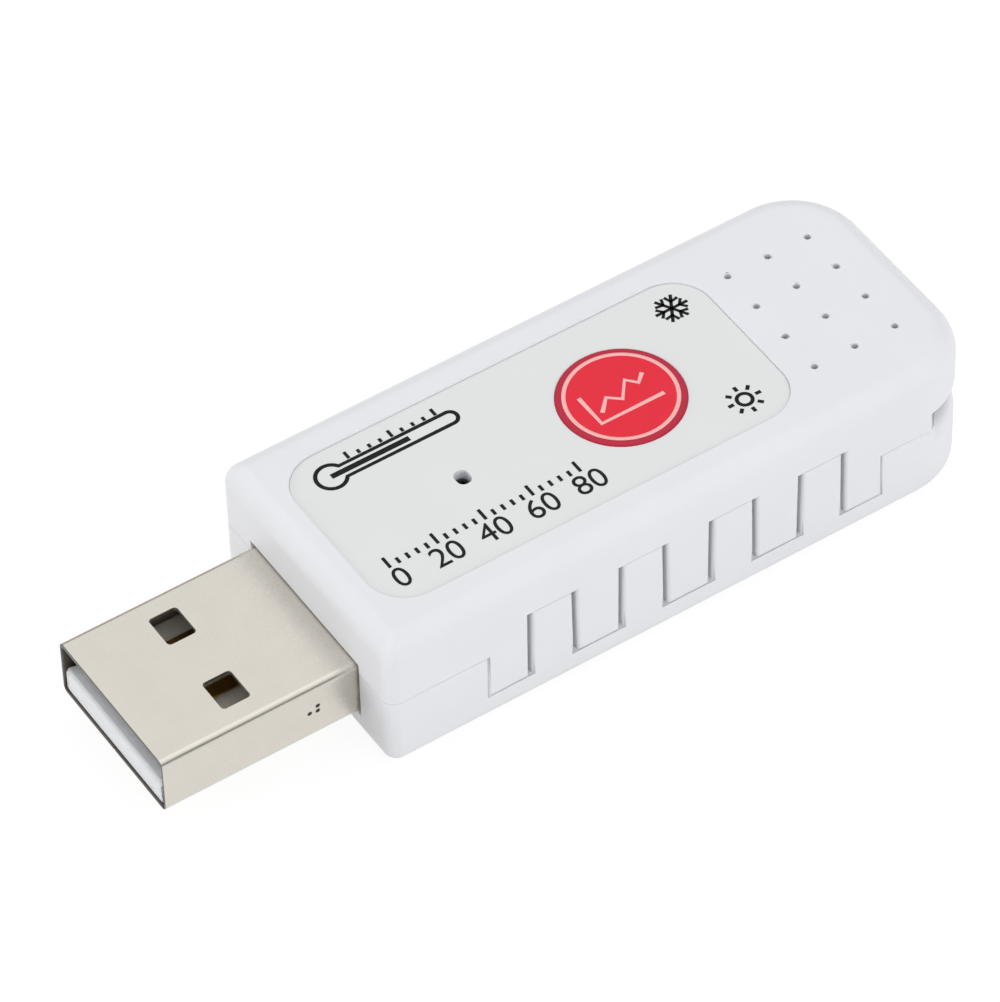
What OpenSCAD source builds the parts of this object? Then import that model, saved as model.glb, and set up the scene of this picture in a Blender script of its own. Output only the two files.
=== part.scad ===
// Temperature data logger: a white thermometer stick with a plug at its front end.
// Millimetres, +Z up. X runs along the stick, from the plug's tip to the rounded rear end.
// The origin lies on the underside, on the centre line, half way between the two ends.
// Sizes named ..._from_front and ..._from_rear are measured along X from the case's two ends.

/* [Case] */
// Length of the case, without the plug
case_l = 45; // [43:0.5:54]
// Width of the case
case_w = 19.2; // [18.8:0.2:26]
// Height of the case
case_h = 10.8; // [10.6:0.2:14]
// Thickness of the side and end walls
wall = 1.4; // [1.2:0.05:1.6]
// Thickness of the top
top_t = 1.3; // [1.1:0.05:1.5]
// Thickness of the floor
floor_t = 1.2; // [0.8:0.05:1.3]
// Plan radius of the two rear corners
rear_r = 5.1; // [4:0.1:6]
// Plan radius of the two front corners
front_r = 0.95; // [0.5:0.05:1.4]
// Rounding of the top edge
top_fillet = 1.56; // [1:0.04:2]
// Rounding of the bottom edge
bottom_fillet = 1; // [0.6:0.05:1.4]

/* [Parting line] */
// Height of the parting line at the two ends
seam_z = 5.6; // [5.2:0.1:6]
// Height that the top cover's tabs reach down to
tab_z = 2.1; // [1.8:0.1:2.6]
// Distance from the top down to the tops of the bottom cover's fingers
finger_drop = 3.1; // [2.8:0.1:3.8]
// Length of plain wall before the first tab
front_land = 7.25; // [6:0.25:8]
// Width of the first tab
first_tab_w = 3.1; // [2.6:0.1:3.6]
// Width of the last tab
last_tab_w = 2.9; // [2.4:0.1:3.4]
// Length of plain wall behind the last tab
rear_land = 8.09; // [7:0.01:9]
// Number of fingers on each side
finger_n = 4; // [2:1:4]
// Gap beside each finger
finger_gap = 0.28; // [0.2:0.02:0.4]
// How much narrower a finger is at its top, on each side
finger_draft = 0.06; // [0:0.01:0.1]
// Gap along the rest of the parting line
seam_gap = 0.06; // [0.04:0.01:0.1]
// Height of the finger recess in the rear edge of the top cover
notch_h = 1.4; // [1:0.1:1.6]
// Depth of the finger recess
notch_depth = 0.85; // [0.5:0.05:1]
// Distance from the rear end to where the finger recess begins
notch_reach = 4.1; // [3:0.1:5]

/* [Label] */
// Distance from the front face to the label
label_from_front = 2.25; // [2:0.25:4]
// Distance from the rear end to the label
label_from_rear = 11.95; // [10:0.05:13]
// Width of the label film
label_w = 13.5; // [12:0.5:14]
// Corner radius of the label film
label_r = 2.8; // [1:0.2:4]
// Thickness of the label film
label_t = 0.12; // [0.1:0.02:0.18]
// Depth of the recess that the film lies in
label_recess = 0.28; // [0.26:0.02:0.36]
// Gap between the film's edge and the recess
label_gap = 0.08; // [0.04:0.02:0.14]

/* [Button] */
// Place of the button's centre along the label, as a share of the label's length
button_along_share = 0.6951; // [0.65:0.0001:0.75]
// Diameter of the button's head
button_d = 8.36; // [7:0.02:9]
// Travel of the button
button_travel = 0.25; // [0.15:0.05:0.4]
// Gap round the button in the film
button_film_gap = 0.06; // [0.04:0.01:0.1]
// Gap round the button in the top cover
button_gap = 0.1; // [0.08:0.01:0.16]
// How far the button stands above the film
button_proud = 0.11; // [0.05:0.01:0.12]
// Rounding of the button's rim
button_round = 0.15; // [0.1:0.05:0.3]
// Width of the button's retaining flange
button_flange = 0.65; // [0.4:0.05:0.8]
// Thickness of the retaining flange
button_flange_t = 0.8; // [0.6:0.05:0.8]

/* [Indicator and vents] */
// Place of the indicator window along the label, as a share of the label's length
led_along_share = 0.3107; // [0.29:0.0001:0.35]
// Length of the indicator window, across the stick
led_window_l = 1.2; // [1.2:0.1:2]
// Width of the indicator window
led_window_w = 1; // [0.5:0.05:1.1]
// Distance from the rear end to the centre of the vents
vent_from_rear = 6.86; // [6:0.02:8]
// Diameter of each vent hole
vent_d = 0.46; // [0.4:0.02:1]
// Distance between vent holes along the stick
vent_pitch_x = 3.09; // [2:0.01:3.2]
// Distance between vent holes across the stick
vent_pitch_y = 3.17; // [2:0.01:3.3]
// Number of vent holes along the stick
vent_nx = 3; // [2:1:3]
// Number of vent holes across the stick
vent_ny = 4; // [2:1:4]

/* [Plug] */
// Length of the plug outside the case
plug_l = 14; // [12:0.5:16]
// Length of the plug's shell inside the case
plug_inside = 4.75; // [4:0.25:5]
// Width of the plug
plug_w = 12; // [11.8:0.1:12.2]
// Height of the plug
plug_h = 4.5; // [4.4:0.05:4.6]
// Height of the plug's underside above the table
plug_z = 1.86; // [1.8:0.02:2]
// Thickness of the plug's sheet
sheet_t = 0.3; // [0.25:0.01:0.35]
// Outside bend radius of the sheet
bend_r = 0.45; // [0.4:0.01:0.6]
// Gap round the plug in the front wall
plug_gap = 0.1; // [0.06:0.01:0.15]
// Distance from the tip to the centre of the latch windows
latch_from_tip = 6.4; // [5.5:0.1:7]
// Distance between the two latch windows' centres
latch_spacing = 6.26; // [5.5:0.02:6.5]
// Length of a latch window along the plug
latch_l = 2; // [1.6:0.1:2.4]
// Width of a latch window across the plug
latch_w = 2.5; // [2:0.1:2.8]
// Radius of a latch window's corners
latch_corner_r = 0.25; // [0.1:0.05:0.4]
// Thickness of the contact tongue
tongue_t = 1.84; // [1.8:0.01:1.9]
// Setback of the tongue from the mouth
tongue_setback = 0.05; // [0:0.05:0.8]
// Plan radius of the tongue's two front corners
tongue_nose_r = 0.7; // [0.4:0.05:1]
// Depth of the open throat above the tongue
throat_l = 11.9; // [11:0.1:12.5]
// Gap between the tongue and the shell
tongue_gap = 0.02; // [0.01:0.01:0.06]

/* [Contacts] */
// Width of each contact
contact_w = 1; // [0.8:0.05:1.1]
// Thickness of each contact
contact_t = 0.3; // [0.2:0.02:0.34]
// How deep a contact is sunk in the tongue
contact_sink = 0.22; // [0.14:0.02:0.26]
// Distance between the two outer contacts
outer_contact_spacing = 7; // [6.8:0.1:7.2]
// Distance between the two inner contacts
inner_contact_spacing = 2; // [1.8:0.1:2.2]
// Setback of the outer contacts from the mouth
outer_contact_setback = 1.3; // [0.8:0.1:2]
// Setback of the inner contacts from the mouth
inner_contact_setback = 2.3; // [1.8:0.1:3]
// Length of each contact's tail on the board
tail_l = 2.2; // [1.4:0.1:2.6]
// Gap round each contact in the insulator
contact_gap = 0.02; // [0.01:0.01:0.05]

/* [Circuit board] */
// Thickness of the board
board_t = 1; // [0.8:0.1:1.1]
// Gap between the board and the case
board_gap = 0.15; // [0.1:0.05:0.3]
// Gap between the board and the rear wall
board_end_gap = 1.1; // [0.8:0.1:2]
// Corner radius of the board
board_r = 2.6; // [2.2:0.1:3.4]
// Diameter of each of the four posts
post_d = 2.4; // [2:0.1:2.6]
// Diameter of the pin on each post
post_pin_d = 1; // [0.8:0.05:1.2]
// Length of pin above the board
post_pin_l = 1.4; // [1:0.1:2]
// Gap round each pin
pin_gap = 0.06; // [0.04:0.01:0.1]

/* [Push switch] */
// Side of the square switch
switch_w = 6; // [5:0.1:6.4]
// Height of the switch's housing above the board
switch_h = 2.1; // [1.8:0.1:3]
// Thickness of the switch's steel cover
switch_cover_t = 0.3; // [0.2:0.02:0.4]
// Diameter of the switch's plunger
plunger_d = 3.5; // [3:0.1:4]
// Rise of the plunger above the steel cover
plunger_rise = 0.7; // [0.5:0.05:1.2]
// Diameter of the snap dome
dome_d = 4.4; // [3.8:0.1:4.6]
// Rise left in the snap dome when the button is pressed
dome_rise_left = 0.15; // [0.1:0.05:0.2]
// Thickness of the snap dome
dome_t = 0.1; // [0.08:0.01:0.12]

/* [Hidden] */

// Circles, the one overrun that all cuts share, the depth that a post or rib is rooted in the
// wall that carries it, and the least flat left at the end of a slot
$fn = 96;
over = 1;
root_depth = floor_t / 4;
end_flat = 0.1;

// Places of the ends
whole_l = plug_l + case_l;
tip_x = -whole_l / 2;
front_x = tip_x + plug_l;
rear_x = front_x + case_l;
half_w = case_w / 2;
ceiling_z = case_h - top_t;

// Inner skirt of the top cover, which stands behind the bottom cover's fingers
skirt_t = 0.7;
skirt_gap = 0.05;
skirt_rise = 0.9;
skirt_setback = 0.5;
skirt_out = half_w - wall - skirt_gap;
skirt_in = skirt_out - skirt_t;
inner_corner_r = 0.3;

// Parting line along the sides, from the front face
tabs_from = front_land + first_tab_w;
tabs_to = case_l - rear_land;
fingers_to = tabs_to - last_tab_w;
finger_w = (fingers_to - tabs_from) / (2 * finger_n - 1);
finger_z = case_h - finger_drop;

// Snap beads on the fingers and their windows in the skirt
bead_r = 0.35;
bead_inset = 0.69;
bead_l = finger_w - 2 * bead_inset;
bead_drop = 0.9;
bead_gap = 0.12;
bead_z = finger_z - bead_drop;

// Plug, from its tip
shell_rear_x = front_x + plug_inside;
plug_top_z = plug_z + plug_h;
half_plug = plug_w / 2;
sheet_inside_w = plug_w - 2 * sheet_t;
tongue_z = plug_z + sheet_t + tongue_gap;
tongue_top_z = tongue_z + tongue_t;
tongue_w = sheet_inside_w - 2 * tongue_gap;
tongue_edge_r = 0.3;
block_top_z = plug_top_z - sheet_t - tongue_gap;
contact_z = tongue_top_z - contact_sink;
seam_slit = 0.05;

// Solder legs of the plug's shell
shell_leg_l = 1.95;
shell_leg_w = 1.2;
shell_leg_drop = 0.6;
shell_leg_top = 1;
leg_slot_gap = 0.15;

// Circuit board
board_z = contact_z;
board_under_z = board_z - board_t;
board_front_x = shell_rear_x + board_gap;
board_rear_x = rear_x - wall - board_end_gap;
board_l = board_rear_x - board_front_x;
half_board = skirt_in - board_gap;
post_inset = 1.4;
post_y = half_board - post_inset;
post_x_shares = [0.122, 0.75];
post_xs = [for (s = post_x_shares) board_front_x + s * board_l];

// Places of what shows through the top
label_l = case_l - label_from_front - label_from_rear;
label_x = front_x + label_from_front + label_l / 2;
led_x = front_x + label_from_front + led_along_share * label_l;
button_x = front_x + label_from_front + button_along_share * label_l;
vent_x = rear_x - vent_from_rear;

// Button and push switch, stacked from the board up to the film
film_z = case_h - label_recess;
film_top_z = film_z + label_t;
switch_top_z = board_z + switch_h;
switch_cover_z = switch_top_z + switch_cover_t;
plunger_top_z = switch_cover_z + plunger_rise;
dome_floor_h = 0.7;
dome_z = board_z + dome_floor_h;
dome_rise = button_travel + dome_rise_left;
switch_well_gap = 0.2;
switch_well_d = dome_d + 2 * switch_well_gap;
plunger_flange_t = 0.5;
plunger_flange_d = dome_d;
plunger_gap = 0.1;
plunger_play = 0.05;
plunger_pip_d = 1.6;
dome_gap = 0.03;
flange_play = 0.05;
button_top_z = film_top_z + button_proud;
flange_top_z = ceiling_z - flange_play;
flange_z = flange_top_z - button_flange_t;
button_boss_d = 3.4;
button_rim_t = 0.9;
button_web_t = 0.9;

// Terminals of the push switch
terminal_w = 0.7;
terminal_t = 0.3;
terminal_x = 2.25;
terminal_h = 0.7;
terminal_drop = 0.55;
terminal_hole_d = 1;
switch_ear_w = 2.4;
switch_ear_l = 1.1;
solder_h = 0.5;
solder_r = 0.9;
solder_tip_share = 0.6;
solder_gap = 0.02;
leg_solder_most_r = 1;
leg_solder_room = half_w - wall - half_plug + sheet_t / 2 - solder_gap;
leg_solder_r = min(leg_solder_most_r, leg_solder_room);

// Chips: each size holds the body's length, width and height and the span over the leads.
// Each has its own lead width, pitch and number of leads on one side
lead_t = 0.16;
lead_knee = 0.25;
lead_rise_share = 0.5;
chip_stand = 0.1;
pin_mark_r = 0.3;
pin_mark_depth = 0.08;
controller_size = [5, 4.4, 1.1, 6.4];
controller_lead_w = 0.32;
controller_pitch = 0.65;
controller_lead_n = 8;
memory_size = [4.9, 3.9, 1.5, 6];
memory_lead_w = 0.42;
memory_pitch = 1.27;
memory_lead_n = 4;
sensor_size = [3, 3, 0.95, 4.9];
sensor_lead_w = 0.32;
sensor_pitch = 0.65;
sensor_lead_n = 4;
regulator_size = [2, 1.25, 0.95, 2.1];
regulator_lead_w = 0.3;
regulator_pitch = 1.3;
regulator_lead_n = 2;

// Slots that keep the board's warmth from the sensor
slot_w = 0.7;
slot_l = 5.4;
slot_y = 3.4;

// Indicator, crystal and chip parts
led_size = [0.8, 1.6, 0.35];
led_lens_size = [0.8, 1.1, 0.4];
led_lens_taper = 0.1;
crystal_size = [2.5, 2, 0.35];
crystal_can_size = [2.1, 1.6, 0.45];
crystal_x_share = 0.3;
crystal_corner_r = 0.3;
chip_part_size = [1.6, 0.8];
chip_part_end = 0.3;
capacitor_h = 0.8;
resistor_h = 0.45;
chip_row_share = 0.8;
capacitor_x_shares = [0.2, 0.41, 0.49, 0.57, 0.65];
resistor_x_shares = [0.21, 0.29, 0.37, 0.45, 0.53, 0.61];
capacitor_xs = [for (s = capacitor_x_shares) board_front_x + s * board_l];
resistor_xs = [for (s = resistor_x_shares) board_front_x + s * board_l];
crystal_x = board_front_x + crystal_x_share * board_l;
chip_row_y = chip_row_share * half_board;

// Places of the chips along the board
tail_end_x = shell_rear_x + tail_l;
regulator_x = (tail_end_x + led_x - led_size[0] / 2) / 2;
controller_x = (led_x + button_x - switch_w / 2) / 2;
memory_x = (button_x + switch_w / 2 + vent_x - sensor_size[0] / 2) / 2;

// Ribs that hold the plug
cradle_w = 0.9;
cradle_l = 2.6;
cradle_y_shares = [-0.6, 0, 0.6];

// Plan of the case, drawn in by an inset, with its own front corner radius
module plan(inset, corner_r) {
    length = case_l - 2 * inset;
    half = half_w - inset;
    round_r = rear_r - inset;
    translate([front_x + inset, 0]) {
        translate([corner_r, -half])
            square([length - round_r - corner_r, 2 * half]);
        translate([0, corner_r - half])
            square([length - round_r, 2 * (half - corner_r)]);
        translate([length - round_r, round_r - half])
            square([round_r, 2 * (half - round_r)]);
        for (side = [-1, 1]) {
            translate([corner_r, side * (half - corner_r)])
                circle(r = corner_r);
            translate([length - round_r, side * (half - round_r)])
                circle(r = round_r);
        }
    }
}

// Section through one edge of the case: the outer face is at the given reach
module edge_section(reach) {
    square([reach - top_fillet, case_h]);
    square([reach - bottom_fillet, case_h - top_fillet]);
    translate([0, bottom_fillet])
        square([reach, case_h - bottom_fillet - top_fillet]);
    translate([reach - top_fillet, case_h - top_fillet])
        circle(r = top_fillet);
    translate([reach - bottom_fillet, bottom_fillet])
        circle(r = bottom_fillet);
}

// A section in the X-Z plane, pushed out evenly to both sides across the stick
module across(width) {
    rotate([90, 0, 0])
        translate([0, 0, -width / 2])
            linear_extrude(width)
                children();
}

// A section in the Y-Z plane, pushed out along the stick from a given place
module along(from_x, length) {
    translate([from_x, 0, 0])
        rotate([90, 0, 90])
            linear_extrude(length)
                children();
}

// The whole case as one solid, with every outer edge rounded: a straight part, and an end made
// of a middle strip and two turned corners. All of them meet at one plane
module case_solid() {
    end_x = rear_x - rear_r;
    intersection() {
        along(front_x, case_l)
            for (side = [0, 1])
                mirror([side, 0, 0])
                    edge_section(half_w);
        across(case_w)
            translate([end_x, 0])
                mirror([1, 0, 0])
                    edge_section(case_l - rear_r);
        linear_extrude(case_h)
            plan(0, front_r);
    }
    across(case_w - 2 * rear_r)
        translate([end_x, 0])
            edge_section(rear_r);
    for (side = [0, 1])
        mirror([0, side, 0])
            translate([end_x, half_w - rear_r, 0])
                rotate_extrude(angle = 90)
                    edge_section(rear_r);
}

// Everything below the parting line, as an outline in the X-Z plane. widen spreads the
// fingers, lift raises the line and slack moves the two end steps towards the tabs
function finger_points(i, widen, lift) =
    let (x0 = tabs_from + 2 * i * finger_w - widen, x1 = x0 + finger_w + 2 * widen)
    [
        [x0, tab_z + lift],
        [x0 + finger_draft, finger_z + lift],
        [x1 - finger_draft, finger_z + lift],
        [x1, tab_z + lift]
    ];

module below_parting(widen, lift, slack) {
    points = concat(
        [
            [-over, -over],
            [-over, seam_z + lift],
            [front_land + slack, seam_z + lift],
            [front_land + slack, tab_z + lift]
        ],
        [for (i = [0:finger_n - 1]) each finger_points(i, widen, lift)],
        [
            [tabs_to - slack, tab_z + lift],
            [tabs_to - slack, seam_z + lift],
            [case_l + over, seam_z + lift],
            [case_l + over, -over]
        ]
    );
    across(case_w + 2 * over)
        translate([front_x, 0])
            polygon(points);
}

module rounded_rectangle(length, width, radius) {
    square([length - 2 * radius, width], center = true);
    square([length, width - 2 * radius], center = true);
    for (sx = [-1, 1])
        for (sy = [-1, 1])
            translate([sx * (length / 2 - radius), sy * (width / 2 - radius)])
                circle(r = radius);
}

// One copy of the children at the middle of each finger
module at_fingers() {
    for (i = [0:finger_n - 1])
        translate([front_x + tabs_from + (2 * i + 0.5) * finger_w, 0, 0])
            children();
}

module at_posts() {
    for (x = post_xs)
        for (side = [-1, 1])
            translate([x, side * post_y, 0])
                children();
}

module at_switch_terminals() {
    for (sx = [-1, 1])
        for (side = [0, 1])
            translate([button_x + sx * terminal_x, 0, 0])
                mirror([0, side, 0])
                    translate([0, switch_w / 2, 0])
                        children();
}

module at_shell_legs() {
    for (side = [0, 1])
        mirror([0, side, 0])
            translate([shell_rear_x, half_plug - sheet_t, 0])
                children();
}

module bottom_cover() {
    color("white") {
        difference() {
            intersection() {
                case_solid();
                below_parting(-finger_gap / 2, 0, 0);
            }
            translate([0, 0, floor_t])
                linear_extrude(case_h)
                    plan(wall, inner_corner_r);
            plug_cut(plug_z - plug_gap, case_h);
        }
        at_posts() {
            translate([0, 0, floor_t - root_depth])
                cylinder(d = post_d, h = board_under_z - floor_t + root_depth);
            translate([0, 0, floor_t])
                cylinder(d = post_pin_d, h = board_z + post_pin_l - floor_t);
        }
        at_fingers()
            for (side = [-1, 1])
                translate([0, side * (half_w - wall), bead_z])
                    rotate([0, 90, 0])
                        cylinder(r = bead_r, h = bead_l, center = true);
        cradles(floor_t - root_depth, plug_z);
    }
}

module plug_cut(z0, z1) {
    translate([front_x - over, -half_plug - plug_gap, z0])
        cube([wall + 2 * over, plug_w + 2 * plug_gap, z1 - z0]);
}

module cradles(z0, z1) {
    for (s = cradle_y_shares)
        translate([front_x + wall / 2, s * half_plug - cradle_w / 2, z0])
            cube([cradle_l + wall / 2, cradle_w, z1 - z0]);
}

module top_cover() {
    color("white")
        difference() {
            union() {
                difference() {
                    case_solid();
                    below_parting(finger_gap / 2, seam_gap, seam_gap);
                    translate([0, 0, -over])
                        linear_extrude(ceiling_z + over)
                            plan(wall + skirt_gap, inner_corner_r);
                }
                skirt();
                at_posts()
                    translate([0, 0, board_z])
                        cylinder(d = post_d, h = ceiling_z - board_z + root_depth);
                cradles(plug_top_z, ceiling_z + root_depth);
            }
            plug_cut(seam_z - over, plug_top_z + plug_gap);
            label_pocket();
            top_openings(button_d / 2 + button_gap);
            at_posts()
                translate([0, 0, board_z - over])
                    cylinder(d = post_pin_d + 2 * pin_gap, h = post_pin_l + 2 * over);
            vents();
            finger_recess();
        }
}

module skirt() {
    skirt_z = tab_z + seam_gap;
    skirt_x = front_x + front_land + skirt_setback;
    difference() {
        for (side = [0, 1])
            mirror([0, side, 0])
                translate([skirt_x, skirt_in, skirt_z])
                    cube([
                        tabs_to - front_land - 2 * skirt_setback,
                        skirt_t,
                        finger_z + skirt_rise - skirt_z
                    ]);
        at_fingers()
            translate([0, 0, bead_z])
                cube([bead_l + 2 * bead_gap, case_w, 2 * (bead_r + bead_gap)], center = true);
    }
}

module label_pocket() {
    translate([label_x, 0, film_z])
        linear_extrude(label_recess + over)
            rounded_rectangle(label_l + 2 * label_gap, label_w + 2 * label_gap, label_r + label_gap);
}

// The button's hole and the indicator's window, through the film or the top
module top_openings(button_hole_r) {
    translate([button_x, 0, ceiling_z - over])
        cylinder(r = button_hole_r, h = top_t + 2 * over);
    translate([led_x, 0, ceiling_z - over])
        linear_extrude(top_t + 2 * over)
            rounded_rectangle(led_window_w, led_window_l, (led_window_w - end_flat) / 2);
}

module vents() {
    for (i = [0:vent_nx - 1])
        for (j = [0:vent_ny - 1])
            translate([
                vent_x + (i - (vent_nx - 1) / 2) * vent_pitch_x,
                (j - (vent_ny - 1) / 2) * vent_pitch_y,
                ceiling_z - over
            ])
                cylinder(d = vent_d, h = top_t + 2 * over);
}

// A shallow recess round the rear end, just above the parting line
module finger_recess() {
    translate([0, 0, seam_z])
        linear_extrude(notch_h)
            difference() {
                translate([rear_x - notch_reach, -half_w - over])
                    square([notch_reach + over, case_w + 2 * over]);
                plan(notch_depth, inner_corner_r);
            }
}

module label_film() {
    color("gainsboro")
        difference() {
            translate([label_x, 0, film_z])
                linear_extrude(label_t)
                    rounded_rectangle(label_l, label_w, label_r);
            top_openings(button_d / 2 + button_film_gap);
        }
}

module button_cap() {
    head_r = button_d / 2;
    hollow_top_z = button_top_z - button_web_t;
    color("crimson")
        translate([button_x, 0, 0]) {
            difference() {
                rotate_extrude() {
                    translate([0, flange_z])
                        square([head_r - button_round, button_top_z - flange_z]);
                    translate([0, flange_z])
                        square([head_r, button_top_z - button_round - flange_z]);
                    translate([head_r - button_round, button_top_z - button_round])
                        circle(r = button_round);
                    translate([0, flange_z])
                        square([head_r + button_flange, button_flange_t]);
                }
                translate([0, 0, flange_z - over])
                    cylinder(r = head_r - button_rim_t, h = hollow_top_z - flange_z + over);
            }
            translate([0, 0, plunger_top_z])
                cylinder(d = button_boss_d, h = hollow_top_z + root_depth - plunger_top_z);
        }
}

// Section of the plug's shell, in the Y-Z plane
module plug_section(inset) {
    translate([0, plug_z + plug_h / 2])
        rounded_rectangle(plug_w - 2 * inset, plug_h - 2 * inset, bend_r - inset);
}

module plug_shell() {
    color("silver") {
        difference() {
            along(tip_x, shell_rear_x - tip_x)
                plug_section(0);
            along(tip_x - over, shell_rear_x - tip_x + 2 * over)
                plug_section(sheet_t);
            for (side = [-1, 1])
                translate([tip_x + latch_from_tip, side * latch_spacing / 2, 0])
                    linear_extrude(case_h)
                        rounded_rectangle(latch_l, latch_w, latch_corner_r);
            translate([tip_x - over, -seam_slit / 2, plug_z - over])
                cube([shell_rear_x - tip_x + 2 * over, seam_slit, sheet_t + over + tongue_gap]);
        }
        at_shell_legs()
            shell_leg();
    }
}

// A leg that runs back from the shell's side and down through the board
module shell_leg() {
    leg_x = shell_leg_l - shell_leg_w;
    leg_z = board_z + board_gap;
    rotate([90, 0, 0])
        translate([0, 0, -sheet_t])
            linear_extrude(sheet_t)
                polygon([
                    [0, leg_z],
                    [0, plug_top_z - shell_leg_top],
                    [shell_leg_l, plug_top_z - shell_leg_top],
                    [shell_leg_l, board_under_z - shell_leg_drop],
                    [leg_x, board_under_z - shell_leg_drop],
                    [leg_x, leg_z]
                ]);
}

module plug_insulator() {
    tongue_x = tip_x + tongue_setback;
    color("white")
        difference() {
            union() {
                intersection() {
                    along(tongue_x, shell_rear_x - tongue_x)
                        translate([0, (tongue_z + tongue_top_z) / 2])
                            rounded_rectangle(tongue_w, tongue_t, tongue_edge_r);
                    linear_extrude(case_h)
                        nose_plan(tongue_x);
                }
                along(tip_x + throat_l, shell_rear_x - tip_x - throat_l)
                    translate([0, (tongue_z + block_top_z) / 2])
                        rounded_rectangle(tongue_w, block_top_z - tongue_z, tongue_edge_r);
            }
            contact_groove(outer_contact_spacing / 2, outer_contact_setback);
            contact_groove(-outer_contact_spacing / 2, outer_contact_setback);
            contact_groove(inner_contact_spacing / 2, inner_contact_setback);
            contact_groove(-inner_contact_spacing / 2, inner_contact_setback);
        }
}

// Plan of the tongue, with its two front corners rounded
module nose_plan(nose_x) {
    translate([nose_x + tongue_nose_r, -tongue_w / 2])
        square([case_l, tongue_w]);
    translate([nose_x, tongue_nose_r - tongue_w / 2])
        square([case_l, tongue_w - 2 * tongue_nose_r]);
    for (side = [-1, 1])
        translate([nose_x + tongue_nose_r, side * (tongue_w / 2 - tongue_nose_r)])
            circle(r = tongue_nose_r);
}

module contact_groove(y, setback) {
    groove_w = contact_w + 2 * contact_gap;
    translate([tip_x + setback - contact_gap, y - groove_w / 2, contact_z])
        cube([case_l, groove_w, contact_t + contact_gap]);
}

// A flat contact with a rounded front end, whose tail lies on the board
module contact(y, setback) {
    length = shell_rear_x + tail_l - tip_x - setback;
    color("gold")
        translate([tip_x + setback, y, contact_z]) {
            translate([contact_t, -contact_w / 2, 0])
                cube([length - contact_t, contact_w, contact_t]);
            intersection() {
                translate([contact_t, 0, 0])
                    rotate([90, 0, 0])
                        cylinder(r = contact_t, h = contact_w, center = true);
                translate([0, -contact_w / 2, 0])
                    cube([contact_t, contact_w, contact_t]);
            }
        }
}

module contact_power() {
    contact(outer_contact_spacing / 2, outer_contact_setback);
}

module contact_data_minus() {
    contact(inner_contact_spacing / 2, inner_contact_setback);
}

module contact_data_plus() {
    contact(-inner_contact_spacing / 2, inner_contact_setback);
}

module contact_ground() {
    contact(-outer_contact_spacing / 2, outer_contact_setback);
}

module circuit_board() {
    color("darkgreen")
        difference() {
            translate([board_front_x + board_l / 2, 0, board_under_z])
                linear_extrude(board_t)
                    rounded_rectangle(board_l, 2 * half_board, board_r);
            at_posts()
                translate([0, 0, board_under_z - over])
                    cylinder(d = post_pin_d + 2 * pin_gap, h = board_t + 2 * over);
            at_shell_legs()
                translate([
                    shell_leg_l - shell_leg_w - leg_slot_gap,
                    -leg_slot_gap,
                    board_under_z - over
                ])
                    cube([
                        shell_leg_w + 2 * leg_slot_gap,
                        sheet_t + 2 * leg_slot_gap,
                        board_t + 2 * over
                    ]);
            at_switch_terminals()
                translate([0, terminal_t / 2, board_under_z - over])
                    cylinder(d = terminal_hole_d, h = board_t + 2 * over);
            for (side = [-1, 1])
                translate([vent_x, side * slot_y, board_under_z - over])
                    linear_extrude(board_t + 2 * over)
                        rounded_rectangle(slot_l, slot_w, (slot_w - end_flat) / 2);
        }
}

module chip_body(x, size) {
    translate([x, 0, board_z + chip_stand])
        difference() {
            translate([-size[0] / 2, -size[1] / 2, 0])
                cube([size[0], size[1], size[2] - chip_stand]);
            translate([
                2 * pin_mark_r - size[0] / 2,
                2 * pin_mark_r - size[1] / 2,
                size[2] - chip_stand - pin_mark_depth
            ])
                cylinder(r = pin_mark_r, h = over);
        }
}

// Gull-wing leads along both long sides of a chip
module chip_leads(x, size, width, pitch, count) {
    half_body = size[1] / 2;
    half_span = size[3] / 2;
    lead_z = chip_stand + lead_rise_share * (size[2] - chip_stand);
    for (side = [0, 1])
        for (i = [0:count - 1])
            translate([x + (i - (count - 1) / 2) * pitch - width / 2, 0, board_z])
                mirror([0, side, 0])
                    rotate([90, 0, 90])
                        linear_extrude(width)
                            polygon([
                                [half_body, lead_z],
                                [half_body + lead_knee, lead_z],
                                [half_body + lead_knee, lead_t],
                                [half_span, lead_t],
                                [half_span, 0],
                                [half_body + lead_knee - lead_t, 0],
                                [half_body + lead_knee - lead_t, lead_z - lead_t],
                                [half_body, lead_z - lead_t]
                            ]);
}

module controller_chip() {
    color("dimgray")
        chip_body(controller_x, controller_size);
}

module controller_leads() {
    color("silver")
        chip_leads(
            controller_x,
            controller_size,
            controller_lead_w,
            controller_pitch,
            controller_lead_n
        );
}

module memory_chip() {
    color("dimgray")
        chip_body(memory_x, memory_size);
}

module memory_leads() {
    color("silver")
        chip_leads(memory_x, memory_size, memory_lead_w, memory_pitch, memory_lead_n);
}

module temperature_sensor() {
    color("dimgray")
        chip_body(vent_x, sensor_size);
}

module sensor_leads() {
    color("silver")
        chip_leads(vent_x, sensor_size, sensor_lead_w, sensor_pitch, sensor_lead_n);
}

module voltage_regulator() {
    color("dimgray")
        chip_body(regulator_x, regulator_size);
}

module regulator_leads() {
    color("silver")
        chip_leads(
            regulator_x,
            regulator_size,
            regulator_lead_w,
            regulator_pitch,
            regulator_lead_n
        );
}

module indicator_led() {
    color("ivory")
        translate([led_x - led_size[0] / 2, -led_size[1] / 2, board_z])
            cube(led_size);
}

module led_lens() {
    half = led_lens_size[1] / 2;
    color("red")
        translate([led_x - led_lens_size[0] / 2, 0, board_z + led_size[2]])
            rotate([90, 0, 90])
                linear_extrude(led_lens_size[0])
                    polygon([
                        [-half, 0],
                        [half, 0],
                        [half - led_lens_taper, led_lens_size[2]],
                        [led_lens_taper - half, led_lens_size[2]]
                    ]);
}

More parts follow.
